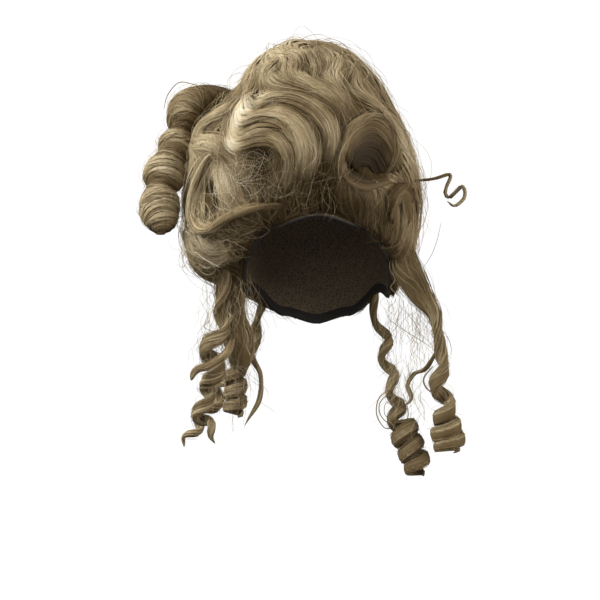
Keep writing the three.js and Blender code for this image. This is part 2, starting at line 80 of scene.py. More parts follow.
# Waved locks on the crown: width, thickness, then path rows of (x, z, lift off the surface).
WAVES = {
    "arc_left": (22, 13, [(-8, 125, 1), (-34, 118, 2), (-52, 104, 3), (-63, 87, 2), (-70, 66, -1)]),
    "arc_middle": (22, 13, [(-26, 110, 0), (-43, 96, 2), (-46, 84, 3), (-33, 72, 3), (-10, 66, -1)]),
    "fall_middle": (20, 13, [(-8, 114, 0), (-24, 97, 2), (-24, 84, 3), (-12, 75, 3), (4, 64, 3), (17, 53, 1),
        (28, 44, -2)]),
    "fall_right": (20, 13, [(10, 114, 0), (19, 94, 2), (11, 75, 3), (18, 59, 3), (32, 48, -1)]),
    "contour_right": (26, 14, [(20, 122, 0), (45, 95, 2), (64, 73, 2), (80, 50, 2), (91, 22, 2),
        (100, -7, 1), (104, -37, 1), (104, -68, -1)]),
    "inner_right": (20, 14, [(20, 108, 0), (32, 88, 2), (34, 70, 3), (50, 54, 3), (70, 35, 3), (82, 4, 2),
        (91, -28, -1)]),
    "front_wave": (27, 19, [(-57, 68, 0), (-66, 51, 4), (-67, 37, 5), (-53, 34, 6), (-33, 37, 8),
        (-16, 26, 8), (-9, 6, 7), (-18, -18, 0)]),
    "front_wave_inner": (17, 12, [(-72, 48, 0), (-78, 30, 3), (-73, 17, 4), (-57, 21, 5), (-38, 21, 6),
        (-25, 6, 5), (-30, -24, 0)]),
    "front_wave_outer": (22, 16, [(-58, 58, 0), (-42, 55, 4), (-20, 53, 5), (-1, 43, 6), (10, 24, 5),
        (8, 0, 0)]),
    "left_wave": (22, 14, [(-80, 62, 0), (-94, 48, 2), (-107, 34, 3), (-110, 23, 3), (-96, 20, 4),
        (-82, 12, 1)]),
    "left_side_wave": (24, 14, [(-96, 58, 0), (-111, 40, 2), (-116, 22, 2), (-111, 8, 2), (-118, -10, 2),
        (-123, -36, 2), (-122, -64, 0)]),
    "left_puff": (34, 24, [(-119, -48, 0), (-116, -68, 2), (-103, -79, 3), (-86, -77, 1)]),
}

# Ways that the hair lies over the locks: height of the ridge that it makes, then path rows of (x, z).
FLOWS = {
    "bend_lowest": (2.4, [(-70, 48), (-75, 33), (-79, 19), (-73, 15), (-62, 22), (-47, 26), (-33, 21),
        (-23, 9), (-21, -5), (-30, -23)]),
    "bend_low": (2.4, [(-66, 59), (-70, 45), (-73, 33), (-67, 29), (-58, 35), (-45, 38), (-30, 34),
        (-19, 22), (-15, 7), (-20, -8)]),
    "bend_middle": (2.4, [(-62, 67), (-66, 54), (-66, 44), (-61, 41), (-50, 45), (-35, 45), (-19, 40),
        (-6, 27), (-2, 12), (-6, -3)]),
    "bend_high": (2.4, [(-56, 74), (-60, 62), (-60, 53), (-53, 51), (-40, 55), (-22, 54), (-5, 46), (7, 33),
        (11, 17), (8, 1)]),
    "bend_highest": (2.4, [(-49, 82), (-52, 70), (-52, 62), (-45, 60), (-32, 64), (-15, 62), (2, 54),
        (15, 40), (19, 27)]),
    "crest_left": (1.2, [(-41, 91), (-48, 79), (-43, 70), (-34, 66), (-24, 67), (-12, 65), (0, 58)]),
    "crest_middle": (1.4, [(-49, 97), (-39, 106), (-27, 106), (-18, 96), (-17, 87), (-20, 81), (-12, 71),
        (0, 63), (13, 53), (24, 42)]),
    "crest_right": (1.4, [(-45, 112), (-37, 115), (-25, 115), (-12, 110), (-5, 98), (-4, 90), (-8, 83),
        (-3, 77), (7, 70), (16, 63), (28, 52)]),
    "fall_left": (1.4, [(11, 119), (18, 105), (15, 89), (10, 81), (16, 68), (26, 58), (37, 50)]),
    "fall_outer": (1.4, [(24, 113), (31, 96), (29, 86), (23, 79), (29, 66), (40, 58), (52, 51), (64, 38)]),
    "contour": (1.6, [(19, 119), (34, 101), (47, 83), (57, 66), (71, 52), (79, 35), (84, 17), (92, -11),
        (98, -40), (100, -68)]),
    "turn_left": (1.6, [(-74, 74), (-78, 63), (-86, 51), (-101, 42), (-111, 30), (-114, 21), (-107, 18),
        (-95, 22), (-86, 18), (-80, 10)]),
    "side_left": (2.0, [(-108, 51), (-116, 34), (-122, 15), (-124, -4), (-122, -23), (-125, -37)]),
    "fan": (0, [(-95, 6), (-97, -6), (-93, -19), (-86, -33), (-78, -39)]),
    "bowl": (0, [(-74, 10), (-63, -4), (-53, -18), (-48, -29)]),
    "brushed_left": (0, [(-40, -28), (-44, -44), (-46, -58)]),
    "brushed_middle": (0, [(-14, -22), (-18, -36), (-20, -50)]),
    "brushed_right": (0, [(10, -16), (6, -32), (5, -47)]),
    "brushed_roll": (0, [(25, -12), (23, -29), (25, -47)]),
    "brushed_temple": (0, [(55, -16), (61, -25), (61, -41), (64, -59)]),
    "roll_side": (1.5, [(63, 36), (72, 20), (80, 4), (87, -12), (92, -34), (93, -58)]),
    "roll_below": (0, [(38, -18), (47, -29), (49, -43), (47, -54)]),
    "roll_corner": (0, [(66, -15), (73, -16), (79, -18), (86, -24), (90, -40)]),
    "right_side": (0, [(98, -20), (97, -50), (92, -84)]),
}

# Locks that are brushed up over the sides and back.
BACK_LOCKS = {"count": 6, "from": 100, "to": 265, "low": 0.06, "high": 0.92, "sway": 6, "waves": 1.2,
              "phases": 3, "lift": -3, "width": 50, "thickness": 16, "tip": 0.5, "steps": 8}

# Hollows in the crown: x, z, lift, then radii across, deep and up.
HOLLOWS = {
    "under_right_roll": (44, 5, -3, 17, 16, 23),
    "in_left_loop": (-103, -32, -2, 7, 16, 18),
    "right_roll_corner": (60, 3, -2, 15, 11, 17),
}

# Rolled bands of hair: width into the crown, thickness, then path rows of (x, z, lift).
ROLLS = {
    "loop_roll_left": (26, 9, [(-92, 18, 0), (-102, 6, 4), (-109, -11, 6), (-113, -29, 8), (-113, -45, 10),
        (-107, -56, 12), (-97, -57, 12), (-84, -47, 11), (-65, -39, 9), (-44, -38, 2)]),
    "barrel_roll_right": (30, 9, [(20, -22, -2), (19, -2, 5), (22, 16, 7), (30, 32, 8), (42, 41, 9),
        (55, 38, 8), (64, 24, 7), (69, 8, 4), (70, -8, -2)]),
    "small_roll_right": (18, 7, [(67, -46, 0), (67, -30, 5), (74, -20, 6), (83, -22, 6), (89, -40, 0)]),
}

# Nested rings of hair inside the rolls, from the rim to the middle: lift, then path rows of (x, z).
NESTS = {
    "right_whirl": [(13, [(19, 5), (22, 20), (31, 35), (42, 42), (55, 39), (65, 27), (75, 12), (84, -6)]),
        (9, [(25, 0), (27, 13), (35, 25), (46, 30), (56, 25), (65, 15), (73, 3), (80, -9)]), (0, [(30, -3),
        (32, 9), (40, 17), (49, 20), (58, 17), (64, 9), (69, 0), (74, -9)]), (-9, [(38, -8), (39, 2),
        (44, 8), (51, 9), (58, 7), (62, 2), (65, -4), (69, -10)]), (-14, [(46, -9), (47, -3), (50, 1),
        (54, 1), (58, 0), (60, -4), (62, -7), (64, -11)])],
    "right_lip": [(3, [(19, 0), (22, -11), (31, -20), (44, -24), (56, -21), (67, -17), (74, -15)]), (-6,
        [(31, -5), (34, -10), (41, -14), (52, -15), (61, -13), (67, -12), (72, -11)])],
    "loop_tail": [(5, [(-84, -48), (-72, -42), (-60, -38), (-48, -36), (-38, -36), (-28, -39)]), (1,
        [(-84, -56), (-72, -50), (-60, -45), (-48, -42), (-38, -41), (-28, -44)])],
    "small_whirl": [(8, [(66, -52), (67, -36), (74, -24), (82, -25), (88, -38), (92, -56)]), (2, [(72, -56),
        (73, -44), (77, -35), (82, -36), (85, -46), (87, -60)])],
}

# Hair of the rolls: core steps, then how many bands, strands and frizz, then points, tone, change of tone
# along it and how much darker its root is, then its nests as name, bands, rim tone and middle tone. The
# middle tone is painted shade that deepens into each roll's hollow.
ROLL_HAIR = {
    "loop_roll_left": (60, 70, 120, 14, 26, .72, -.46, .22, [("loop_tail", 50, .36, .22)]),
    "barrel_roll_right": (60, 80, 130, 12, 26, .38, -.06, 0,
        [("right_whirl", 250, .35, -.2), ("right_lip", 90, .3, 0)]),
    "small_roll_right": (30, 30, 60, 8, 14, .27, 0, 0, [("small_whirl", 80, .3, .2)]),
}

# The fat curl at the upper left: path rows of (x, y, z, radius), in four lumps between narrow places.
FAT_CURL_TURNS = 8.5
FAT_CURL_GROOVE = 0.04
FAT_CURL_LEAN = 0.04
CURL_ROOT = 0.3
FAT_CURL = [
    (-68, -10, 66, 10), (-86, -14, 70, 12), (-104, -20, 71, 13), (-118, -24, 68, 15), (-129, -26, 60, 17),
    (-132, -28, 47, 16.5), (-134, -30, 35, 11), (-138, -33, 23, 18), (-143, -36, 11, 14), (-147, -39, 0, 19),
    (-151, -42, -11, 20.5), (-153, -44, -20, 13), (-153, -47, -32, 19.5), (-153, -50, -44, 20),
    (-152, -51, -54, 18.5), (-152, -52, -63, 15)
]

# Hanging locks: rows of (x, y, z, coil radius, turns so far, lock width, lock thickness).
HANGING = {
    "temple_lock_left": [(-86, 2, -82, 0, .2, 34, 20), (-86, 3, -112, 2, .25, 34, 22),
        (-84, 5, -140, 3, .35, 32, 20), (-80, 8, -165, 3, .2, 32, 20), (-75, 10, -188, 3, .3, 24, 16),
        (-74, 10, -202, 2, .25, 12, 9)],
    "ringlet_left_front": [(-93, -14, -78, 0, 0, 18, 10), (-91, -14, -120, 2, .4, 16, 9),
        (-97, -14, -151, 7, .9, 15, 8), (-104, -14, -177, 9, 1.5, 15, 8), (-103, -14, -203, 8, 2.2, 14, 8),
        (-110, -14, -222, 6, 2.9, 13, 7), (-114, -14, -244, 7, 3.6, 12, 7), (-106, -14, -257, 5, 4.2, 9, 6),
        (-100, -14, -270, 1, 4.5, 6, 4)],
    "ringlet_left_back": [(-82, 46, -96, 0, .2, 15, 8), (-80, 44, -140, 2, .5, 13, 8),
        (-80, 40, -175, 5, 1.2, 13, 7), (-82, 37, -200, 8, 2.1, 13, 7), (-83, 36, -216, 9, 3, 14, 7),
        (-83, 36, -230, 9, 3.9, 13, 7), (-84, 36, -242, 9, 4.8, 10, 6), (-84, 36, -248, 4, 5.1, 5, 4)],
    "ringlet_left_nape": [(-52, 80, -112, 0, 0, 13, 7), (-64, 78, -165, 4, .8, 12, 7),
        (-88, 72, -206, 8, 2, 12, 7), (-112, 66, -240, 8, 3.2, 11, 6), (-130, 61, -266, 6, 4.2, 8, 5),
        (-138, 58, -280, 2, 4.8, 4, 3)],
    "tendril_left": [(-84, 27, -98, 0, .2, 7, 4), (-72, 26, -155, 1, .5, 7, 4), (-66, 24, -186, 1, .8, 6, 4),
        (-58, 20, -205, 1, 1, 5, 4), (-59, 16, -230, 1, 1.2, 5, 3), (-73, 14, -255, 0, 1.4, 2.5, 2)],
    "flick_left": [(-82, 0, -152, 0, .25, 8, 5), (-88, -24, -178, 0, .25, 8, 5),
        (-104, -34, -191, 0, .25, 8, 5), (-119, -33, -197, 0, .25, 7, 4.5),
        (-124, -30, -207, 0, .25, 5, 3.5)],
    "ringlet_right_front": [(83, -22, -62, 0, .2, 38, 14), (88, -24, -95, 0, .22, 38, 15),
        (101, -25, -122, 1, .25, 25, 12), (116, -25, -142, 2, .35, 15, 10), (122, -24, -164, 3, .6, 13, 9),
        (121, -22, -186, 3, .9, 13, 9), (122, -21, -208, 8, 1.4, 15, 8), (126, -20, -232, 7, 2, 14, 8),
        (127, -19, -248, 10, 2.7, 14, 8), (129, -18, -260, 14, 3.6, 15, 8), (130, -18, -272, 13, 4.5, 13, 7),
        (131, -18, -279, 8, 5.2, 8, 5)],
    "ringlet_right_back": [(62, 62, -110, 0, 0, 14, 8), (60, 48, -140, 2, .4, 11, 8),
        (70, 34, -168, 4, 1, 10, 7), (71, 24, -192, 5, 1.7, 10, 7), (78, 12, -216, 6, 2.4, 10, 7),
        (80, 4, -238, 7, 3.1, 12, 7), (86, -3, -256, 12, 4, 14, 7), (91, -6, -270, 12, 4.9, 14, 7),
        (97, -8, -284, 12, 5.8, 14, 7), (100, -9, -298, 10, 6.7, 11, 6), (101, -9, -304, 4, 7, 6, 4)],
    "tendril_right": [(119, -22, -176, 0, .2, 5, 3), (108, -14, -196, 0, .2, 5, 3),
        (97, -8, -201, 0, .2, 4, 3), (90, -6, -213, 0, .2, 4, 3), (94, -6, -225, 0, .2, 4, 3),
        (89, -6, -233, 0, .2, 3, 2)],
    "stray_curl_right": [(90, -12, -10, 0, .2, 3, 2.6), (115, -14, -8, 0, .2, 3, 2.6),
        (132, -14, -4, 0, .2, 3, 2.6), (127, -11, -20, 0, .2, 3, 2.6), (132, -9, -26, 0, .2, 3, 2.6),
        (144, -12, -15, 0, .2, 3, 2.6), (146, -15, -26, 0, .2, 3, 2.6), (136, -18, -35, 0, .2, 3, 2.6),
        (128, -19, -30, 0, .2, 2.4, 2)],
}

# Grid of the crown, and how the hair on it is laid
AROUND = 399
UP = 200
LOCK_REACH = 11.0
LOCK_PULL = .25
FLOW_REACH = 8.0
RIDGE_WIDTH = 10.0
TRACE_STEPS = 4
CROWN_POINTS = 13
SHORTEST = 16.0
PLAIN_FLOW = -.03
FASTEST_FLOW = 2
LOCK_BULGE = .65
PROUD_BLUR = 60

# The root's shares of the crown's rise, and the relief under which a place is in a hollow
ROOT_RISE = .2
ROOT_SEEDS = .05
OPEN_RELIEF = -.4

# Hair of the crown by sector: from and to azimuth, then how many broad ribbons, clumps of strands,
# loose frizz and roots, then the range of lengths.
SECTORS = {
    "crown_front_left": (-100, 0, 560, 165, 350, 190, (45, 100)),
    "crown_front_right": (0, 100, 560, 165, 370, 190, (45, 100)),
    "crown_back_right": (100, 180, 290, 70, 160, 110, (70, 150)),
    "crown_back_left": (-180, -100, 290, 70, 160, 110, (70, 150)),
}

# Hair of each kind on the crown. Pairs are ranges, and tones are a mean and a spread.
RIBBON = {"lift": (-.2, .8), "sink": 1.6, "thick": (.4, .8), "wide": (1.5, 2.9), "tone": (-.01, .035)}
CLUMP = {"strands": 6, "lift": (.3, 1.5), "spread": (1.6, 4.4), "dome": .8, "sink": 1.8, "stray": (-.2, .4),
         "ripple": .6, "ripples": (4, 14), "tone": (.03, .04), "each_tone": (0, .05), "radius": (.12, .26)}
ROOT = {"points": 9, "lengths": (40, 90), "lift": (.1, 1.2), "sway": 2.0, "ripple": .5, "ripples": 7,
        "radius": (.16, .34), "tone": (0, .1)}
FLYAWAY = {"points": 11, "lengths": (30, 90), "lift": (.6, 1.6), "arched": .55, "curve": 1.6,
           "rise": (.6, 7.0), "wild": .2, "wilder": 2.2, "sway": (1.5, 6.0), "ripples": (3, 9),
           "radius": (.13, .24), "tone": (.06, .08)}
NET = {"points": 10, "lengths": (16, 20), "lift": (.5, 2.0), "bend": 2.2, "run": (18, 44), "rise": (.5, 4.5),
       "radius": (.7, 1.3), "tone": (0, .08)}

# Hair swept over the tip. Shares of the crown's rise say how far from the tip and how far along it reaches.
TOP = {"points": 21, "along": (.10, .24), "slip": .04, "away": (-.17, .05), "ripple": .008,
       "ripples": (18, 34), "heading": -14, "turn": .1, "sink": 2.0, "tone": (.02, .04)}

# Its bands and its strands: count, half thickness, half width and lift.
TOP_KINDS = [(80, (.4, .8), (1.5, 2.8), (-.5, .5)), (150, (.12, .26), (.12, .26), (.3, 1.6))]

# Places on the front painted lighter or darker than the rest: mostly painted highlights on the wave bends and
# painted shade in the valleys, the bowl and at the hairline, partly the hair's own lighter and darker
# streaks. Columns: x, z, reach, change of tone.
LIGHT_AND_SHADE_SPOTS = [
    (-77, 17, 7, .3), (-71, 31, 7, .3), (-64, 43, 7, .3), (-58, 52, 7, .28), (-51, 61, 7, .24),
    (-46, 104, 24, .12), (-25, 112, 18, .10), (20, 95, 22, .05), (52, 66, 18, .08), (-46, 32, 14, -.05),
    (-94, -14, 11, .2), (-104, 24, 12, .08), (-100, -62, 24, .15), (-118, -40, 16, .1), (-50, 9, 10, -.16),
    (-54, -6, 18, -.3), (-75, 52, 8, -.2), (-90, 58, 14, -.12), (-33, 72, 5, -.10), (-3, 73, 6, -.14),
    (9, 69, 6, -.12), (14, 46, 9, -.14), (20, 18, 8, -.12), (40, 55, 6, -.10), (6, -20, 18, -.26),
    (10, -40, 20, -.14), (36, -36, 18, -.14), (-34, -34, 16, -.12), (62, -44, 18, -.06), (-17, 46, 18, -.2),
    (84, 24, 24, .1), (73, 13, 14, .16)
]

# Nets of loose fine hair on the front: x, z, reach, count, tone, radius.
NETS = [
    (-60, -8, 17, 90, .6, .085), (-84, -14, 10, 60, .8, .1), (8, -14, 12, 40, .45, .13),
    (-14, -22, 14, 40, .42, .13), (-106, -62, 16, 120, .62, .2), (-114, -74, 14, 70, .66, .18),
    (-96, -72, 14, 70, .5, .18), (88, -10, 22, 50, .44, .13), (-90, 60, 18, 90, .46, .13),
    (70, 58, 22, 40, .46, .13), (-93, 15, 9, 35, .5, .14)
]

# Loose hairs that stand clear of the locks: radius, then path rows of (x, y, z).
LOOSE_HAIRS = {
    "arc_over_curl": (.55, [(-104, -22, 78), (-121, -25, 84), (-136, -26, 86), (-147, -26, 74),
        (-151, -26, 60)]),
    "arc_inside": (.35, [(-100, -22, 80), (-118, -28, 80), (-131, -30, 78), (-140, -30, 66)]),
    "stray_low_left": (.35, [(-106, -14, -148), (-112, -18, -154), (-106, -19, -158), (-98, -18, -162)]),
    "flick_high_right": (.3, [(106, 2, -96), (114, 0, -84), (120, -2, -68), (124, -2, -50)]),
    "ring_right_wide": (.7, [(80, -6, -215), (70, -11, -218), (61, -14, -226), (59, -14, -241),
        (66, -12, -254), (74, -10, -256)]),
    "ring_right_inner": (.6, [(78, -6, -222), (69, -10, -223), (62, -12, -231), (63, -12, -242),
        (71, -10, -250), (83, -10, -249)]),
    "ring_right_near": (.6, [(85, -12, -220), (90, -14, -236), (89, -14, -246), (80, -14, -250)]),
    "ring_right_small": (.45, [(76, -8, -228), (68, -12, -231), (67, -12, -241), (73, -12, -247)]),
    "band_right": (1.0, [(114, -24, -193), (105, -26, -205), (108, -26, -215), (120, -24, -223)]),
    "cross_right": (.35, [(76, 22, -150), (90, 6, -160), (103, -8, -168), (117, -18, -178)]),
    "loop_left_edge": (.3, [(-124, -12, -14), (-133, -14, -30), (-133, -14, -48), (-125, -14, -60),
        (-130, -12, -72), (-124, -10, -84)]),
    "loop_left_low": (.3, [(-122, -20, -30), (-130, -22, -46), (-128, -22, -62), (-120, -20, -70)]),
    "stray_top": (.25, [(-20, -20, 122), (-12, -22, 131), (2, -22, 134), (14, -20, 130)]),
    "temple_right_outer": (.9, [(80, -33, -72), (88, -36, -84), (99, -36, -93), (105, -34, -106),
        (109, -32, -122)]),
    "temple_right_upper": (.7, [(78, -32, -76), (84, -36, -90), (95, -38, -98), (102, -36, -110),
        (110, -34, -128)]),
    "temple_right_middle": (.9, [(76, -31, -80), (78, -35, -94), (87, -38, -104), (97, -37, -111),
        (107, -35, -126)]),
    "temple_right_lower": (.7, [(74, -30, -84), (75, -34, -98), (83, -37, -108), (93, -37, -115),
        (104, -35, -130)]),
    "temple_right_inner": (.6, [(73, -29, -82), (71, -33, -96), (76, -35, -108), (72, -34, -116),
        (80, -34, -124)]),
    "stray_front": (.35, [(-70, -96, 26), (-66, -104, 22), (-54, -109, 20), (-40, -114, 22),
        (-26, -117, 16)]),
}

# Fine crimped hair that hangs between the ringlets: count, corners of the roots, drop, points.
CURTAINS = {
    "right": (75, (68, -22, -150), (114, 26, -108), (25, 75), 22),
    "right_low": (60, (72, -16, -232), (112, 8, -180), (18, 50), 16),
    "left": (70, (-112, -20, -150), (-66, 30, -96), (25, 80), 22),
    "left_low": (40, (-116, -18, -222), (-62, 30, -170), (18, 45), 16),
    "left_temple": (34, (-96, -16, -118), (-72, -10, -92), (40, 85), 20),
}

# Tones of the hair, from 0, dark brown, to 1, pale. What stands proud gains tone by the millimetre as painted
# light, and grooves lose it as painted shade.
MIDDLE_TONE = .39
RELIEF_SHADING_TONE = .03
PROUD_SPAN = (-7, 5)
# ROOT_SHADE darkens the crown's hair near the cap: partly painted shade at the hairline, partly the roots'
# own darker colour
ROOT_SHADE = .2
# Hair in the hollows under the rolls gets one flat dark tone, which is painted shade
HOLLOW_SHADE_TONE = .14
HANGING_TONE = .37
HANGING_FADE = .15
# Locks darkened as painted shade: the left temple lock by the face, and the right ringlets, away from the
# window light
SHADED_LOCKS = {"temple_lock_left": .06, "ringlet_right_front": .02, "ringlet_right_back": .08}
# Painted shade at the roots of the hanging locks, where they hang under the crown
LOCK_ROOT_PAINTED_SHADE = .13
STRIPE_TONE = .06


# Curves
NEARBY = 1e-3


def catmull(points, share, curve=None):
    """Points of a smooth curve through rows of points, at shares from 0 to 1 of its rows.

    With curve numbers, points holds many curves as (rows, curves, 3), and each share is for one of them.
    """
    points = np.asarray(points, float)
    last = len(points) - 1
    ends = np.concatenate([[2 * points[0] - points[1]], points, [2 * points[-1] - points[-2]]])
    place = np.clip(share, 0, 1) * last
    cell = np.minimum(place.astype(int), last - 1)
    a, b, c, d = (ends[cell + k] if curve is None else ends[cell + k, curve] for k in range(4))
    w = (place - cell)[..., None]
    start, stop = (c - a) / 2, (d - b) / 2
    return b + w * (start + w * (3 * (c - b) - 2 * start - stop + w * (2 * (b - c) + start + stop)))


def unit(vectors):
    return vectors / np.maximum(np.linalg.norm(vectors, axis=-1, keepdims=True), 1e-9)


def square_to(vectors, axis):
    """The part of each vector that is square to its axis, as a unit vector."""
    return unit(vectors - (vectors * axis).sum(-1, keepdims=True) * axis)


def tangents_of(lines):
    """Unit tangents along the second last axis of an array of points."""
    return unit(np.gradient(lines, axis=-2))


def heading(curve, share):
    """Unit tangents of a curve that is a function of shares."""
    return unit(curve(share + NEARBY) - curve(share - NEARBY))


def round_ends(share, power):
    """0 at both ends of a lock, and near 1 between them."""
    return np.sqrt(np.clip(1 - np.abs(2 * share - 1) ** power, 0, 1))


def full_middle(points, power):
    """From 0 at both ends to 1 in the middle of a strand."""
    return np.sin(np.pi * np.linspace(0, 1, points)) ** power


def oval(wide, thin, half_wide, half_thin, turn):
    """Ways from the middle of an oval section to its outside."""
    return wide * (half_wide * np.cos(turn))[..., None] + thin * (half_thin * np.sin(turn))[..., None]


def whole_turn(sides):
    return 2 * np.pi * np.arange(sides) / sides


# Head and crown surfaces
def edge_height(azimuth):
    turn = np.abs((np.asarray(azimuth, float) + 540) % 360 - 180)
    rows = np.array(CAP_EDGE_AZIMUTH, float)
    cell = np.clip(np.searchsorted(rows, turn) - 1, 0, len(rows) - 2)
    share = (turn - rows[cell]) / (rows[cell + 1] - rows[cell])
    heights = np.array(CAP_EDGE_Z, float)
    return heights[cell] + (heights[cell + 1] - heights[cell]) * share * share * (3 - 2 * share)


def head_point(azimuth, z, offset):
    """A point of the head's ellipsoid, grown by offset, at an azimuth and a height."""
    turn = np.radians(azimuth)
    share = np.clip((z + HEAD[2]) / HEAD[2], -1, 1)
    ring = np.sqrt(1 - share * share)
    around = np.stack([ring * np.sin(turn), -ring * np.cos(turn), share], -1)
    point = around * HEAD
    point[..., 2] = z
    return point + unit(around / HEAD) * np.asarray(offset)[..., None]


def crown_at(azimuth, rise):
    """Points of the crown's surface: rise is 0 at the hair's root on the cap and 1 at the tip."""
    azimuth = np.asarray(azimuth, float)
    sine, cosine = np.sin(np.radians(azimuth)), np.cos(np.radians(azimuth))
    rows = [head_point(azimuth, edge_height(azimuth) + ROOT_ABOVE_EDGE, ROOT_OFFSET)]
    for front, right, back, left, z_front, z_side, z_back in CROWN_RINGS:
        side = np.where(sine >= 0, right, left)
        depth = np.where(cosine >= 0, front, back)
        z_end = np.where(cosine >= 0, z_front, z_back)
        rows.append(np.stack([CROWN_AXIS[0] + side * sine, CROWN_AXIS[1] - depth * cosine,
                              z_side + (z_end - z_side) * cosine ** 2], -1))
    rows.append(np.broadcast_to(CROWN_TOP, rows[0].shape))
    return catmull(np.stack(rows), np.asarray(rise, float), np.arange(len(azimuth)))


def crown_normal(azimuth, rise):
    below = np.minimum(rise, NEAR_TIP)
    around = crown_at(azimuth + 1, below) - crown_at(azimuth - 1, below)
    upward = crown_at(azimuth, below + .01) - crown_at(azimuth, below - .01)
    return unit(np.cross(around, upward))


def on_front(x, z):
    """Azimuth and rise of the places on the crown's front half that are seen at x, z from in front."""
    x, z = np.asarray(x, float), np.asarray(z, float)
    side = np.where(x > CROWN_AXIS[0], 90.0, -90.0)
    low, high = np.zeros_like(x), np.full_like(x, NEAR_TIP)

    def azimuth_at(rise):
        reach = crown_at(side, rise)[:, 0] - CROWN_AXIS[0]
        sine = np.clip(np.abs((x - CROWN_AXIS[0]) / reach), 0, NEAR_SIDE)
        return np.sign(side) * np.degrees(np.arcsin(sine))

    for _ in range(SEARCH_STEPS):
        rise = (low + high) / 2
        under = crown_at(azimuth_at(rise), rise)[:, 2] < z
        low, high = np.where(under, rise, low), np.where(under, high, rise)
    return azimuth_at(low), low


def spots_on_front(path):
    """Points and normals of the crown at the x, z columns of a path."""
    azimuth, rise = on_front([row[0] for row in path], [row[1] for row in path])
    return crown_at(azimuth, rise), crown_normal(azimuth, rise)


# The crown as a grid: what lies on it, and which way its hair runs
def guide(points, width, thickness, lifts=None, tip=1.0, reach=LOCK_REACH, pull=LOCK_PULL, ridge=False):
    """A sampled way of the hair, with the height that its lock stands over the surface."""
    share = np.linspace(0, 1, 8 * len(points))
    line = catmull(points, share)
    size = round_ends(share, LOCK_END_POWER) * (1 + (tip - 1) * share)
    lift = catmull(np.array(lifts, float)[:, None], share)[:, 0] if lifts is not None else 0 * share
    return {"line": line, "tangent": tangents_of(line), "half": size * width / 2,
            "top": (lift + thickness / 2) * size, "reach": reach, "pull": pull, "ridge": ridge}


def crown_guides():
    made = []
    for width, thickness, path in WAVES.values():
        made.append(guide(spots_on_front(path)[0], width, thickness, [row[2] for row in path]))
    for height, path in FLOWS.values():
        points = spots_on_front(path)[0]
        made.append(guide(points, RIDGE_WIDTH, 2 * height, reach=FLOW_REACH, pull=1, ridge=True))
    back = BACK_LOCKS
    share = np.linspace(0, 1, back["steps"])
    spread = (back["to"] - back["from"]) / (back["count"] - 1)
    for index in range(back["count"]):
        swing = np.sin(2 * np.pi * (back["waves"] * share + index / back["phases"]))
        azimuth = back["from"] + spread * index + back["sway"] * swing
        points = crown_at(azimuth, back["low"] + (back["high"] - back["low"]) * share)
        row = guide(points, back["width"], back["thickness"], np.full(len(share), back["lift"]), back["tip"],
                    reach=2 * LOCK_REACH, pull=1)
        row["tangent"] = -row["tangent"]
        made.append(row)
    return made


def soften(field, times):
    """Blurs a grid field that wraps round the crown."""
    for _ in range(times):
        field = (np.roll(field, 1, 0) + 2 * field + np.roll(field, -1, 0)) / 4
        padded = np.concatenate([field[:, :1], field, field[:, -1:]], 1)
        field = (padded[:, :-2] + 2 * padded[:, 1:-1] + padded[:, 2:]) / 4
    return field


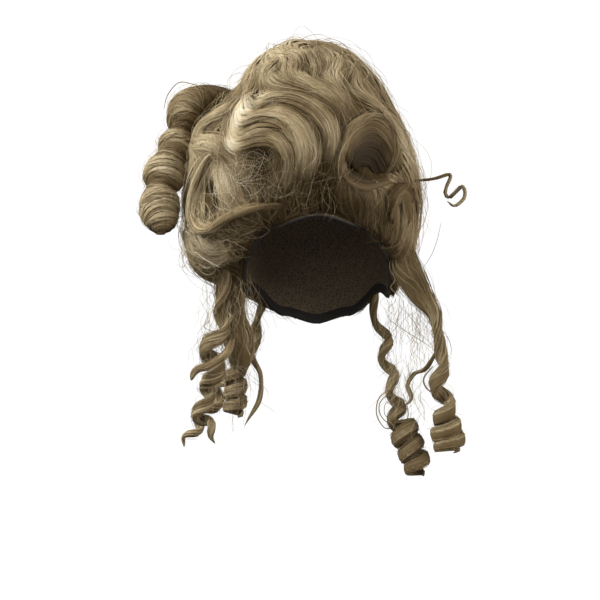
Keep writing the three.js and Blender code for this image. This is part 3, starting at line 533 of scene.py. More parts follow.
class Crown:
    """The crown's surface on a grid of azimuth and rise, with its relief and the flow of its hair."""

    def __init__(self):
        azimuth = np.linspace(-180, 180, AROUND, endpoint=False)
        rise = np.linspace(0, 1, UP)
        self.azimuth, self.rise = np.meshgrid(azimuth, rise, indexing="ij")
        a, r = self.azimuth.ravel(), self.rise.ravel()
        self.base = crown_at(a, r).reshape(AROUND, UP, 3)
        self.normal = crown_normal(a, r).reshape(AROUND, UP, 3)
        self.around = (np.roll(self.base, -1, 0) - np.roll(self.base, 1, 0)) / 2
        self.up = np.gradient(self.base, axis=1)
        self.relief, flow = self.lay_guides(crown_guides())
        self.relief = soften(self.dig(self.relief), 2)
        self.flow = self.grid_steps(soften(flow, 2))
        self.area = np.linalg.norm(np.cross(self.around, self.up), axis=-1)
        self.tone = self.shade()

    def lay_guides(self, guides):
        """Height of the locks with the ridges on them, and the way that the hair runs."""
        points = self.base.reshape(-1, 3)
        top, ridges = np.zeros(len(points)), np.zeros(len(points))
        flow = PLAIN_FLOW * unit(self.up).reshape(-1, 3)
        for row in guides:
            line = row["line"]
            gap = (points ** 2).sum(1)[:, None] - 2 * points @ line.T + (line ** 2).sum(1)
            index = gap.argmin(1)
            distance = np.sqrt(np.maximum(gap[np.arange(len(points)), index], 0))
            half = np.maximum(row["half"][index], 1e-3)
            height = row["top"][index] * np.clip(1 - (distance / half) ** 2, 0, 1) ** LOCK_BULGE
            if row["ridge"]:
                ridges = np.maximum(ridges, height)
            else:
                top = np.maximum(top, height)
            weight = row["pull"] * np.exp(-(distance / row["reach"]) ** 2)
            flow = flow + weight[:, None] * row["tangent"][index]
        return (top + ridges).reshape(AROUND, UP), flow.reshape(AROUND, UP, 3)

    def dig(self, relief):
        """Sinks the surface into the hollows under the rolls."""
        for x, z, lift, across, deep, up in HOLLOWS.values():
            point, normal = (row[0] for row in spots_on_front([(x, z)]))
            side = square_to(np.array([1.0, 0, 0]), normal)
            away = self.base - point
            wide = (away @ side) / across
            tall = (away @ np.cross(normal, side)) / up
            front = self.normal @ normal > 0
            room = np.clip(1 - wide ** 2 - tall ** 2, 0, 1)
            relief = np.where(front & (room > 0), np.minimum(relief, lift - deep * np.sqrt(room)), relief)
        return relief

    def shade(self):
        """Tone of the hair with painted light and shade: painted light on what stands out, painted shade in
        valleys and in hollows, roots darkened partly as painted shade and partly as their own colour, and
        spots of painted highlight and shade.
        """
        # Painted light on the ridges and painted shade in the grooves between them
        proud = self.relief - soften(self.relief, PROUD_BLUR)
        root = np.clip(1 - self.rise / ROOT_RISE, 0, 1)
        tone = MIDDLE_TONE + RELIEF_SHADING_TONE * np.clip(proud, *PROUD_SPAN) - ROOT_SHADE * root
        # Painted highlights and painted shade on the front, partly the hair's own streaks
        for x, z, reach, change in LIGHT_AND_SHADE_SPOTS:
            point = spots_on_front([(x, z)])[0][0]
            tone = tone + change * np.exp(-((self.base - point) ** 2).sum(-1) / reach ** 2)
        # Painted shade in the hollows
        return np.where(self.relief < OPEN_RELIEF, HOLLOW_SHADE_TONE, tone)

    def grid_steps(self, flow):
        """The flow as grid cells for each millimetre."""
        flow = square_to(flow, self.normal)
        aa, rr = (self.around ** 2).sum(-1) + 1e-3, (self.up ** 2).sum(-1) + 1e-3
        ar = (self.around * self.up).sum(-1)
        fa, fr = (flow * self.around).sum(-1), (flow * self.up).sum(-1)
        det = aa * rr - ar * ar
        steps = np.stack([(fa * rr - fr * ar) / det, (fr * aa - fa * ar) / det], -1)
        return np.clip(soften(steps, 1), -FASTEST_FLOW, FASTEST_FLOW)

    def sample(self, field, a, r):
        """Values of a field at fractional places on the grid."""
        field = field if field.ndim == 3 else field[..., None]
        r = np.clip(r, 0, UP - 1.001)
        a0, r0 = np.floor(a).astype(int), np.floor(r).astype(int)
        fa, fr = (a - a0)[..., None], (r - r0)[..., None]
        a0, a1 = a0 % AROUND, (a0 + 1) % AROUND
        low = field[a0, r0] * (1 - fa) + field[a1, r0] * fa
        high = field[a0, r0 + 1] * (1 - fa) + field[a1, r0 + 1] * fa
        return low * (1 - fr) + high * fr

    def place(self, a, r, height):
        """Points at a height over the relief."""
        lift = self.sample(self.relief, a, r) + np.asarray(height)[..., None]
        return self.sample(self.base, a, r) + self.sample(self.normal, a, r) * lift

    def seeds(self, count, weight):
        """Random grid places, spread by area and weight."""
        chance = (self.area * weight).ravel()
        cell = rng.choice(chance.size, count, p=chance / chance.sum())
        return cell // UP + rng.random(count), cell % UP + rng.random(count)

    def trace(self, a, r, length, points):
        """Follows the flow both ways from the seeds, as far as the hollows, in rows of grid places."""
        half = points // 2
        step = length / (points - 1) / TRACE_STEPS
        rows = {0: (a, r)}
        for way in (1, -1):
            pa, pr = a, r
            for k in range(1, half + 1):
                for _ in range(TRACE_STEPS):
                    move = way * step[:, None] * self.sample(self.flow, pa, pr)
                    na, nr = pa + move[:, 0], np.clip(pr + move[:, 1], .4, UP - 5)
                    open_air = self.sample(self.relief, na, nr)[:, 0] < OPEN_RELIEF
                    pa, pr = np.where(open_air, pa, na), np.where(open_air, pr, nr)
                rows[way * k] = (pa, pr)
        order = sorted(rows)
        return np.stack([rows[k][0] for k in order], 1), np.stack([rows[k][1] for k in order], 1)


# Meshes
class MeshParts:
    """Vertices, faces, tones and unwrapped corners of one piece, gathered part by part."""

    def __init__(self):
        self.vertices, self.tones, self.quads, self.corners, self.edges = [], [], [], [], []
        self.count = 0

    def add(self, vertices, tones, quads, corners, edges=0):
        """edges numbers the sharp edges that vertices lie on, or is 0 where the skin is smooth."""
        self.vertices.append(vertices.reshape(-1, 3))
        self.tones.append(np.broadcast_to(tones, vertices.shape[:-1]).reshape(-1))
        self.quads.append(quads.reshape(-1, 4) + self.count)
        self.corners.append(corners.reshape(-1, 2))
        self.edges.append(np.broadcast_to(edges, vertices.shape[:-1]).reshape(-1))
        self.count += len(self.vertices[-1])

    def build(self, name, material):
        vertices = np.concatenate(self.vertices) * MM
        quads = np.concatenate(self.quads)
        corners = np.concatenate(self.corners)
        keep = np.ones(quads.shape, bool)
        keep[:, 3] = quads[:, 2] != quads[:, 3]
        sizes = keep.sum(1)
        loops = quads[keep]
        mesh = bpy.data.meshes.new(name)
        mesh.vertices.add(len(vertices))
        mesh.loops.add(len(loops))
        mesh.polygons.add(len(quads))
        mesh.vertices.foreach_set("co", vertices.astype(np.float32).ravel())
        mesh.loops.foreach_set("vertex_index", loops.astype(np.int32))
        mesh.polygons.foreach_set("loop_start", (np.cumsum(sizes) - sizes).astype(np.int32))
        mesh.polygons.foreach_set("use_smooth", np.ones(len(quads), bool))
        mesh.update(calc_edges=True)
        ends = np.empty(2 * len(mesh.edges), np.int32)
        mesh.edges.foreach_get("vertices", ends)
        first, second = np.concatenate(self.edges)[ends.reshape(-1, 2).T]
        sharp = mesh.attributes.new("sharp_edge", "BOOLEAN", "EDGE")
        sharp.data.foreach_set("value", (first == second) & (first > 0))
        uv = mesh.uv_layers.new(name="OFBake")
        uv.data.foreach_set("uv", corners[keep.ravel()].astype(np.float32).ravel())
        tone = mesh.attributes.new("tone", "FLOAT", "POINT")
        tone.data.foreach_set("value", np.concatenate(self.tones).astype(np.float32))
        mesh.materials.append(material)
        piece = bpy.data.objects.new(name, mesh)
        bpy.context.scene.collection.objects.link(piece)
        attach(piece, "root")
        return piece


STRAND_SIDES = 3
UV_COLUMNS = 64
UV_CORE = 0.3
UV_FILL = 0.9
CORE_FILL = 0.95
CAP_ROW = 0.02


def wall_quads(index):
    """Quads between neighbouring rings of vertex numbers (..., rings, sides)."""
    ahead = np.roll(index, -1, -1)
    corners = [index[..., :-1, :], ahead[..., :-1, :], ahead[..., 1:, :], index[..., 1:, :]]
    return np.stack(corners, -1).reshape(-1, 4)


def cell_corners(columns, rows):
    """Corners of the cells of a grid, as shares across it and along it."""
    s, v = np.meshgrid(np.arange(columns), np.arange(rows))
    return np.stack([s, s + 1, s + 1, s], -1) / columns, np.stack([v, v, v + 1, v + 1], -1) / rows


def add_strands(parts, lines, thick, wide, tones, normals):
    """Adds closed three-sided tubes along lines (strands, points, 3).

    thick is half their height, and wide is half their width.
    """
    strands, points, _ = lines.shape
    tangent = tangents_of(lines)
    out = square_to(normals, tangent)
    side = np.cross(tangent, out)
    thick, wide, tones = (np.broadcast_to(x, (strands, points))[..., None] for x in (thick, wide, tones))
    turn = whole_turn(STRAND_SIDES)
    vertices = lines[:, :, None] + oval(out[:, :, None], side[:, :, None], thick, wide, turn)
    index = np.arange(strands * points * STRAND_SIDES).reshape(strands, points, STRAND_SIDES)
    ends = [index[:, 0][:, [0, 2, 1, 1]], index[:, -1][:, [2, 0, 1, 1]]]
    quads = np.concatenate([wall_quads(index), np.stack(ends, 1).reshape(-1, 4)])
    parts.add(vertices, tones, quads, strand_corners(strands, points), np.arange(STRAND_SIDES))


def strand_corners(strands, points):
    """Unwraps each strand to a strip of its own over the core's share of the square."""
    rows = math.ceil(strands / UV_COLUMNS)
    row, column = np.divmod(np.arange(strands), UV_COLUMNS)
    left, low = column / UV_COLUMNS, UV_CORE + (1 - UV_CORE) * row / rows
    wide, tall = UV_FILL / UV_COLUMNS, UV_FILL * (1 - UV_CORE) / rows
    u, v = cell_corners(STRAND_SIDES, points - 1)
    walls = np.stack([left[:, None, None, None] + wide * u, low[:, None, None, None] + tall * v], -1)
    tips = np.repeat(np.stack([left, low], -1), 8, 0)
    return np.concatenate([walls.reshape(-1, 2), tips])


def add_closed_grid(parts, rings, first, last, tones):
    """Adds a closed skin of rings (rows, sides, 3) between two end points."""
    rows, sides, _ = rings.shape
    vertices = np.concatenate([rings.reshape(-1, 3), [first], [last]])
    index = np.arange(rows * sides).reshape(rows, sides)
    ahead = np.roll(index, -1, 1)
    start = np.full(sides, rows * sides)
    low = np.stack([ahead[0], index[0], start, start], -1)
    high = np.stack([index[-1], ahead[-1], start + 1, start + 1], -1)
    u, v = cell_corners(sides, rows - 1)
    tall = UV_CORE * CORE_FILL
    corners = [np.stack([u, tall * (CAP_ROW + (1 - 2 * CAP_ROW) * v)], -1).reshape(-1, 2)]
    edge = np.arange(sides) / sides
    across = np.stack([edge, edge + 1 / sides, edge + .5 / sides, edge + .5 / sides], -1)
    for rim, tip in ((CAP_ROW, 0), (1 - CAP_ROW, 1)):
        level = np.broadcast_to(tall * np.array([rim, rim, tip, tip]), across.shape)
        corners.append(np.stack([across, level], -1).reshape(-1, 2))
    parts.add(vertices, np.concatenate([tones.reshape(-1), tones[0, :1], tones[-1, :1]]),
              np.concatenate([wall_quads(index), low, high]), np.concatenate(corners))


# Materials
HAIR_RAMP = [(0, (.034, .020, .007)), (.3, (.155, .102, .045)), (.6, (.46, .355, .205)), (1, (.86, .77, .60))]
STREAK_SCALE = (14.0 * UV_COLUMNS, 120.0, 1.0)
STREAK_TONE = .1
MOTTLE_TONE = .06
RIM_COLOUR = (.02, .016, .012)
NET_THREADS = [(.05, (.17, .125, .075)), (.22, (.085, .062, .036))]
TAPE_RIBS = [(0, (.010, .008, .006)), (1, (.034, .027, .021))]
PAPER = [(0, (.14, .14, .14)), (1, (.16, .16, .16))]
NOISE_SPAN = (.3, .7)


class Look:
    """A material round one Principled shader, with short ways to add nodes and to join them."""

    def __init__(self, name, roughness):
        self.material = bpy.data.materials.new(name)
        self.material.use_nodes = True
        self.shader = self.material.node_tree.nodes["Principled BSDF"]
        self.feed(self.shader, {"Roughness": roughness})

    def feed(self, node, inputs):
        """Sets inputs of a node to values, or joins them to the outputs of other nodes."""
        for name, value in inputs.items():
            if isinstance(value, bpy.types.NodeSocket):
                self.material.node_tree.links.new(value, node.inputs[name])
            else:
                node.inputs[name].default_value = value

    def node(self, kind, inputs, output, **settings):
        node = self.material.node_tree.nodes.new(kind)
        for name, value in settings.items():
            setattr(node, name, value)
        self.feed(node, inputs)
        return node.outputs[output]

    def place(self):
        return self.node("ShaderNodeTexCoord", {}, "Object")

    def tone(self):
        return self.node("ShaderNodeAttribute", {}, "Fac", attribute_name="tone")

    def ranged(self, value, span, to):
        """A value spread from its own span to another."""
        inputs = {"Value": value, "From Min": span[0], "From Max": span[1], "To Min": to[0], "To Max": to[1]}
        return self.node("ShaderNodeMapRange", inputs, "Result")

    def summed(self, first, second):
        return self.node("ShaderNodeMath", {0: first, 1: second}, "Value", operation="ADD")

    def ramp(self, value, stops):
        colour = self.node("ShaderNodeValToRGB", {"Fac": value}, "Color")
        elements = colour.node.color_ramp.elements
        while len(elements) < len(stops):
            elements.new(.5)
        for element, (position, shade) in zip(elements, stops):
            element.position = position
            element.color = (*shade, 1)
        return colour

    def bump(self, height, strength, distance):
        inputs = {"Height": height, "Strength": strength, "Distance": distance}
        self.feed(self.shader, {"Normal": self.node("ShaderNodeBump", inputs, "Normal")})


def hair_material():
    """Ash-blonde hair: each strand's tone picks its colour, with fine streaks along it and a soft mottle."""
    look = Look("hair", .5)
    tone = look.tone()
    strip = look.node("ShaderNodeUVMap", {}, "UV", uv_map="OFBake")
    stretched = look.node("ShaderNodeMapping", {"Vector": strip, "Scale": STREAK_SCALE}, "Vector")
    streaks = look.node("ShaderNodeTexNoise", {"Vector": stretched, "Scale": 1, "Detail": 2}, "Fac",
                        noise_dimensions="2D")
    mottle = look.node("ShaderNodeTexNoise", {"Vector": look.place(), "Scale": 34, "Detail": 3}, "Fac")
    swing = look.ranged(streaks, NOISE_SPAN, (-STREAK_TONE, STREAK_TONE))
    patch = look.ranged(mottle, NOISE_SPAN, (-MOTTLE_TONE, MOTTLE_TONE))
    colour = look.ramp(look.summed(look.summed(tone, swing), patch), HAIR_RAMP)
    look.feed(look.shader, {"Base Color": colour, "Roughness": look.ranged(streaks, NOISE_SPAN, (.42, .6)),
                            "Specular IOR Level": .1})
    look.bump(streaks, .5, .0003)
    return look.material


def net_material():
    """A fine dark stretch net: small cells of threads over a darker ground, with a dark rim."""
    look = Look("cap_net", .85)
    cells = look.node("ShaderNodeTexVoronoi", {"Vector": look.place(), "Scale": 300, "Randomness": 1},
                      "Distance", feature="DISTANCE_TO_EDGE")
    colours = {"Factor": look.tone(), "A": (*RIM_COLOUR, 1), "B": look.ramp(cells, NET_THREADS)}
    look.feed(look.shader, {"Base Color": look.node("ShaderNodeMix", colours, "Result", data_type="RGBA")})
    look.bump(look.ranged(cells, (0, .3), (1, 0)), .25, .0004)
    return look.material


def tape_material():
    """Dark woven tape with fine ribs along it."""
    look = Look("edge_tape", .8)
    weave = look.node("ShaderNodeTexWave", {"Vector": look.place(), "Scale": 350, "Distortion": 1.5}, "Fac",
                      wave_type="BANDS", bands_direction="Z")
    look.feed(look.shader, {"Base Color": look.ramp(weave, TAPE_RIBS)})
    look.bump(weave, .4, .0004)
    return look.material


def stage_material():
    """Matt pale paper with a very faint mottle."""
    look = Look("pale_paper", .9)
    mottle = look.node("ShaderNodeTexNoise", {"Vector": look.place(), "Scale": 3}, "Fac")
    look.feed(look.shader, {"Base Color": look.ramp(mottle, PAPER), "Emission Color": (1, 1, 1, 1),
                            "Emission Strength": .97})
    return look.material


# Hair on the crown
CORE_STEP = 3
CORE_SUNK = -2.0
# The cores are dark as painted shade that shows in the gaps between the strands
CORE_SHADE_DARKER = .07
CORE_SHADE_TONE = .28
CORE_SHARE = .92
INNER_RINGS = 12


def crown_core(crown, material):
    """The body of the swept-up hair, closed inside just off the cap, darker than its strands as painted shade
    in the gaps between them.
    """
    parts = MeshParts()
    a, r = np.meshgrid(np.arange(0, AROUND, CORE_STEP), np.arange(0, UP - 1, CORE_STEP))
    outer = crown.place(a.astype(float), r.astype(float), np.full(a.shape, CORE_SUNK))
    azimuth = -180 + 360 * np.arange(0, AROUND, CORE_STEP) / AROUND
    root = edge_height(azimuth) + ROOT_ABOVE_EDGE
    inside = CAP_WALL + PIECE_GAP + .1
    inner = [head_point(azimuth, root * (1 - k / INNER_RINGS), inside) for k in range(INNER_RINGS)]
    rings = np.concatenate([np.stack(inner[::-1]), outer])
    inner_tones = np.full((INNER_RINGS, len(azimuth)), CORE_SHADE_TONE)
    tones = np.concatenate([inner_tones, crown.tone[a, r] - CORE_SHADE_DARKER])
    add_closed_grid(parts, rings, (0, 0, inside), CROWN_TOP, tones)
    piece = parts.build("crown_core", material)
    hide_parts("crown_front", "crown_back")
    return piece


def even_out(points, *values):
    """Spaces rows of values evenly along their lines of points. Also gives the lines' lengths."""
    gaps = np.linalg.norm(np.diff(points, axis=1), axis=2)
    run = np.concatenate([np.zeros((len(points), 1)), np.cumsum(gaps, 1)], 1)
    share = np.linspace(0, 1, points.shape[1])
    made = [[np.interp(share * way[-1], way, row) for way, row in zip(run, value)] for value in values]
    return (*np.array(made), run[:, -1])


def smoothed(lines, times):
    for _ in range(times):
        lines = np.concatenate([lines[:, :1], (lines[:, :-2] + 2 * lines[:, 1:-1] + lines[:, 2:]) / 4,
                                lines[:, -1:]], 1)
    return lines


def flow_lines(crown, count, weight, lengths, points, lift):
    """Lines that follow the hair from random places, with their normals, ways across and tones."""
    a, r = crown.seeds(count, weight * (crown.relief > OPEN_RELIEF))
    a, r = crown.trace(a, r, rng.uniform(*lengths, count), points)
    a, r, run = even_out(crown.place(a, r, np.zeros(a.shape)), a, r)
    keep = (run > SHORTEST) & (crown.sample(crown.relief, a, r)[..., 0].min(1) > OPEN_RELIEF)
    a, r = a[keep], r[keep]
    line = smoothed(crown.place(a, r, rng.uniform(*lift, (len(a), 1)) * np.ones(points)), 1)
    normal = crown.sample(crown.normal, a, r)
    return line, normal, np.cross(normal, tangents_of(line)), crown.sample(crown.tone, a, r)[..., 0]


def wavy(each, place, rates):
    """A sine along place for each strand, with a random start and rate."""
    return np.sin(rng.uniform(0, 6, each) + place * rng.uniform(*rates, each))


def thinned(radius, each, points):
    """Random radii of fine hairs that thin towards both ends."""
    return rng.uniform(*radius, each) * (.4 + .6 * full_middle(points, .5))


def add_ribbons(parts, crown, count, weight, lengths):
    """Broad flat bands of hair that cover the crown."""
    line, normal, _, tone = flow_lines(crown, count, weight, lengths, CROWN_POINTS, RIBBON["lift"])
    share = full_middle(CROWN_POINTS, .5)
    line = line - normal * (RIBBON["sink"] * (1 - share))[:, None]
    each = (len(line), 1)
    add_strands(parts, line, rng.uniform(*RIBBON["thick"], each) * (.2 + .8 * share),
                rng.uniform(*RIBBON["wide"], each) * share, tone + rng.normal(*RIBBON["tone"], each), normal)


def add_clumps(parts, crown, count, weight, lengths):
    """Clumps of fine strands that lie over the bands."""
    line, normal, across, tone = flow_lines(crown, count, weight, lengths, CROWN_POINTS, CLUMP["lift"])
    share = full_middle(CROWN_POINTS, .6)
    each, clump = (len(line), CLUMP["strands"], 1), (len(line), 1, 1)
    u = rng.uniform(-1, 1, each)
    spread = rng.uniform(*CLUMP["spread"], clump) * (.4 + .6 * share)
    dome = CLUMP["dome"] * (1 - u ** 2) * share - CLUMP["sink"] * (1 - share)
    dome = dome + rng.uniform(*CLUMP["stray"], each)
    phase = rng.uniform(0, 2 * np.pi, each)
    wave = phase + np.linspace(0, 1, CROWN_POINTS) * rng.uniform(*CLUMP["ripples"], each)
    sideways = u * spread + CLUMP["ripple"] * np.sin(wave)
    lines = line[:, None] + across[:, None] * sideways[..., None] + normal[:, None] * dome[..., None]
    tones = tone[:, None] + rng.normal(*CLUMP["tone"], clump) + rng.normal(*CLUMP["each_tone"], each)
    shape = (-1, CROWN_POINTS)
    radius = (rng.uniform(*CLUMP["radius"], each) * (.3 + .7 * share)).reshape(shape)
    normals = np.broadcast_to(normal[:, None], lines.shape).reshape(*shape, 3)
    add_strands(parts, lines.reshape(*shape, 3), radius, radius, tones.reshape(shape), normals)


def add_top(parts, crown, count, half_thick, half_wide, lift):
    """Hair that is swept over the tip from side to side."""
    each = (count, 1)
    along = np.linspace(-1, 1, TOP["points"]) * rng.uniform(*TOP["along"], each)
    along = along + rng.normal(0, TOP["slip"], each)
    away = rng.uniform(*TOP["away"], each)
    away = away + TOP["ripple"] * wavy(each, along, TOP["ripples"])
    turn = np.radians(TOP["heading"]) + rng.normal(0, TOP["turn"], each)
    right = along * np.cos(turn) + away * np.sin(turn)
    front = away * np.cos(turn) - along * np.sin(turn)
    a = (np.degrees(np.arctan2(right, front)) + 180) / 360 * AROUND
    r = (1 - np.hypot(right, front)) * (UP - 1)
    share = full_middle(TOP["points"], .5)
    line = smoothed(crown.place(a, r, rng.uniform(*lift, each) - TOP["sink"] * (1 - share)), 1)
    tone = crown.sample(crown.tone, a, r)[..., 0] + rng.normal(*TOP["tone"], each)
    size = .3 + .7 * share
    add_strands(parts, line, rng.uniform(*half_thick, each) * size, rng.uniform(*half_wide, each) * size,
                tone, crown.sample(crown.normal, a, r))


def add_roots(parts, crown, count, weight):
    """Fine dark hair that is brushed up from the edge of the cap."""
    points = ROOT["points"]
    line, normal, across, tone = flow_lines(crown, count, weight * (crown.rise < ROOT_SEEDS), ROOT["lengths"],
                                            points, ROOT["lift"])
    each = (len(line), 1)
    share = np.linspace(0, 1, points)
    sway = rng.normal(0, ROOT["sway"], each) * share
    sway = sway + ROOT["ripple"] * np.sin(rng.uniform(0, 6, each) + ROOT["ripples"] * share)
    radius = thinned(ROOT["radius"], each, points)
    tone = tone + rng.normal(*ROOT["tone"], each)
    add_strands(parts, line + across * sway[..., None], radius, radius, tone, normal)


def add_frizz(parts, crown, count, weight):
    """Loose fine hairs that stand a little off the crown."""
    points = FLYAWAY["points"]
    line, normal, across, tone = flow_lines(crown, count, weight, FLYAWAY["lengths"], points, FLYAWAY["lift"])
    each = (len(line), 1)
    share = np.linspace(0, 1, points)
    arch = np.where(rng.random(each) < FLYAWAY["arched"], np.sin(np.pi * share), share ** FLYAWAY["curve"])
    rise = rng.uniform(*FLYAWAY["rise"], each)
    rise = rise * np.where(rng.random(each) < FLYAWAY["wild"], FLYAWAY["wilder"], 1) * arch
    sway = rng.uniform(*FLYAWAY["sway"], each) * wavy(each, share, FLYAWAY["ripples"])
    line = line + normal * rise[..., None] + across * sway[..., None]
    radius = thinned(FLYAWAY["radius"], each, points)
    add_strands(parts, line, radius, radius, tone + rng.normal(*FLYAWAY["tone"], each), normal)


def add_nets(parts, crown):
    """Short fine hairs that curl every way over parts of the front."""
    points = NET["points"]
    for x, z, reach, count, tone, thick in NETS:
        spot = spots_on_front([(x, z)])[0][0]
        near = np.exp(-((crown.base - spot) ** 2).sum(-1) / reach ** 2)
        line, normal, across, _ = flow_lines(crown, count, near, NET["lengths"], 3, NET["lift"])
        each = (len(line), 1)
        start, normal, across = line[:, 1:2], normal[:, 1:2], across[:, 1:2]
        turn = rng.uniform(0, 2 * np.pi, each)
        turn = turn + rng.uniform(-NET["bend"], NET["bend"], each) * np.linspace(-1, 1, points)
        step = rng.uniform(*NET["run"], each) / points
        run = np.cumsum(np.cos(turn) * step, 1)[..., None], np.cumsum(np.sin(turn) * step, 1)[..., None]
        lift = rng.uniform(*NET["rise"], each) * full_middle(points, 1)
        line = start + across * run[0] + np.cross(across, normal) * run[1] + normal * lift[..., None]
        radius = thick * thinned(NET["radius"], each, points)
        add_strands(parts, line, radius, radius, tone + rng.normal(*NET["tone"], each),
                    np.broadcast_to(normal, line.shape))


def crown_strands(crown, material):
    for name, (low, high, ribbons, clumps, frizz, roots, lengths) in SECTORS.items():
        weight = ((crown.azimuth >= low) & (crown.azimuth < high)).astype(float)
        parts = MeshParts()
        add_ribbons(parts, crown, ribbons, weight, lengths)
        add_clumps(parts, crown, clumps, weight, lengths)
        add_roots(parts, crown, roots, weight)
        add_frizz(parts, crown, frizz, weight)
        yield parts.build(name, material)
    parts = MeshParts()
    for kind in TOP_KINDS:
        add_top(parts, crown, *kind)
    yield parts.build("crown_top", material)


# Rolls, curls and ringlets
FINE = (.2, .4)
FRIZZ = (.13, .22)
BAND = (.35, .6)
BAND_FLAT = 3.2
BAND_DARKER = .04
FRIZZ_LIGHTER = .1
STRAND_TONE = .07
SHIMMER = .04
SHIMMERS = 20
ROLL_SIDES = 20
LOCK_ROOT = .3
LOCK_STRIPES = 3
NEST = {"points": 14, "settle": .85, "stray": .5, "sink": 1.5, "thick": (.25, .45), "flat": 4, "tone": .03}

# Hanging locks, and how many bands, strands and frizz they have: the least, and more for each millimetre
# of girth.
LOCK_SIDES = 12
LARGEST_GIRTH = 30
TIGHT_COIL = 8.5
TIGHT_POINTS_A_TURN = 12
POINTS_A_TURN = 9
POINT_SPACING = 9
LEAST_POINTS = 6
HANGING_HAIR = [(6, .5), (10, 1.25), (0, .5)]

# The fat curl, and its hair: count, points, turns, half thickness, flatness, spread, tone and sway.
CURL_ROWS = 100
CURL_SIDES = 30
CURL_CORE = .96
CURL_ENDS = (.006, .994)
CURL_TONE = .05
# The fat curl's lumps are painted lighter and its notches painted with shade, by the millimetre of swell
SWELL_FROM = 17
SWELL_SPAN = (-4, 2)
SWELL_LIGHT_AND_SHADE = .055
CURL_ROOT_TONE = .2
CURL_HAIR = [(150, 16, (.5, 1.2), (.5, .9), 3.0, (.96, 1.0), .40, .006),
             (290, 18, (.5, 1.5), FINE, 1.0, (.97, 1.05), .43, .012),
             (140, 12, (.2, .6), FRIZZ, 1.0, (1.02, 1.28), .6, .04)]


def lock_skin(parts, centre, wide, thin, half_wide, half_thin, sides, tone):
    """The closed core of a lock whose oval section is swept along its centre."""
    halves = CORE_SHARE * half_wide[:, None], CORE_SHARE * half_thin[:, None]
    rings = centre[:, None] + oval(wide[:, None], thin[:, None], *halves, whole_turn(sides))
    add_closed_grid(parts, rings[1:-1], centre[0], centre[-1], np.full((len(centre) - 2, sides), tone))


def in_rows(values, count, points):
    """Arrays of values of all the strands' points, a row to a strand."""
    return (value.reshape(count, points, *value.shape[1:]) for value in values)


def lock_strands(parts, lock, count, points, radius, tone, fades, spread=(.9, 1.06), drift=.35, full=.6,
                 flat=1.0):
    """Strands along a lock, on and just under its oval outside. lock is a function of shares along it."""
    fade, root = fades
    start = np.where(rng.random(count) < full, rng.uniform(0, .04, count), rng.uniform(0, .6, count))
    stop = np.where(rng.random(count) < full, rng.uniform(.95, 1, count), start + rng.uniform(.25, .5, count))
    share = start[:, None] + (np.minimum(stop, 1) - start)[:, None] * np.linspace(0, 1, points)
    centre, wide, thin, half_wide, half_thin = in_rows(lock(share.ravel()), count, points)
    each = (count, 1)
    turn = rng.uniform(0, 2 * np.pi, each) + drift * wavy(each, share, (3, 9))
    taper = full_middle(points, .4)
    grow = rng.uniform(*spread, each) * (.82 + .18 * taper)
    out = oval(wide, thin, 1 / np.maximum(half_wide, .1), 1 / np.maximum(half_thin, .1), turn)
    lines = centre + oval(wide, thin, half_wide * grow, half_thin * grow, turn)
    tones = tone + fade * share + rng.normal(0, STRAND_TONE, each)
    tones = tones + SHIMMER * np.sin(share * SHIMMERS + rng.uniform(0, 6, each))
    tones = tones + STRIPE_TONE * np.sin(LOCK_STRIPES * turn) - root * np.clip(1 - share / LOCK_ROOT, 0, 1)
    size = rng.uniform(*radius, each) * (.3 + .7 * taper)
    add_strands(parts, lines, size, size * flat, tones, out)


def roll_lock(width, thickness, path):
    """A roll as a function of shares along it: middle, ways across and half sizes."""
    points, normals = spots_on_front(path)
    lift = np.array([row[2] for row in path], float) - (width / 2 - ROLL_RIM)
    middle = points + normals * lift[:, None]

    def lock(share):
        tangent = heading(lambda at: catmull(middle, at), share)
        wide = square_to(catmull(normals, share), tangent)
        end = round_ends(share, LOCK_END_POWER)
        return catmull(middle, share), wide, np.cross(tangent, wide), end * width / 2, end * thickness / 2

    return lock


def coil_lock(rows):
    """A hanging lock as a function of shares along it: middle, ways across and half sizes."""
    table = np.array(rows, float)

    def middle(share):
        return catmull(table[:, :3], share)

    def path(share):
        tangent = heading(middle, share)
        side = square_to(np.broadcast_to([1.0, 0, 0], tangent.shape), tangent)
        coil, turns = catmull(table[:, 3:5], share).T
        out = oval(side, np.cross(tangent, side), 1, 1, 2 * np.pi * turns)
        return middle(share) + out * coil[:, None], out

    def lock(share):
        centre, out = path(share)
        tangent = heading(lambda at: path(at)[0], share)
        wide = square_to(np.cross(tangent, out), tangent)
        end = round_ends(share, LOCK_END_POWER)
        width, thickness = catmull(table[:, 5:7], share).T
        return centre, wide, np.cross(tangent, wide), end * width / 2, end * thickness / 2

    return lock


def lock_parts(lock, steps, sides, ribbons, count, frizz, points, tone, fades, **kinds):
    """A lock's core, its flat bands, its fine strands and its frizz.

    fades are the change of tone along it and how much darker its root is.
    """
    parts = MeshParts()
    # The core's dark tone is painted shade between the strands
    lock_skin(parts, *lock(np.linspace(0, 1, steps)), sides, CORE_SHADE_TONE)
    lock_strands(parts, lock, ribbons, points, BAND, tone - BAND_DARKER, fades, spread=(.94, 1.0),
                 flat=BAND_FLAT)
    lock_strands(parts, lock, count, points, FINE, tone, fades, **kinds)
    lock_strands(parts, lock, frizz, points, FRIZZ, tone + FRIZZ_LIGHTER, fades, spread=(1.15, 1.9),
                 drift=1.2, full=.2)
    return parts


def finish_lock(parts, name, material):
    piece = parts.build(name + "_hair", material)
    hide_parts(name)
    return piece


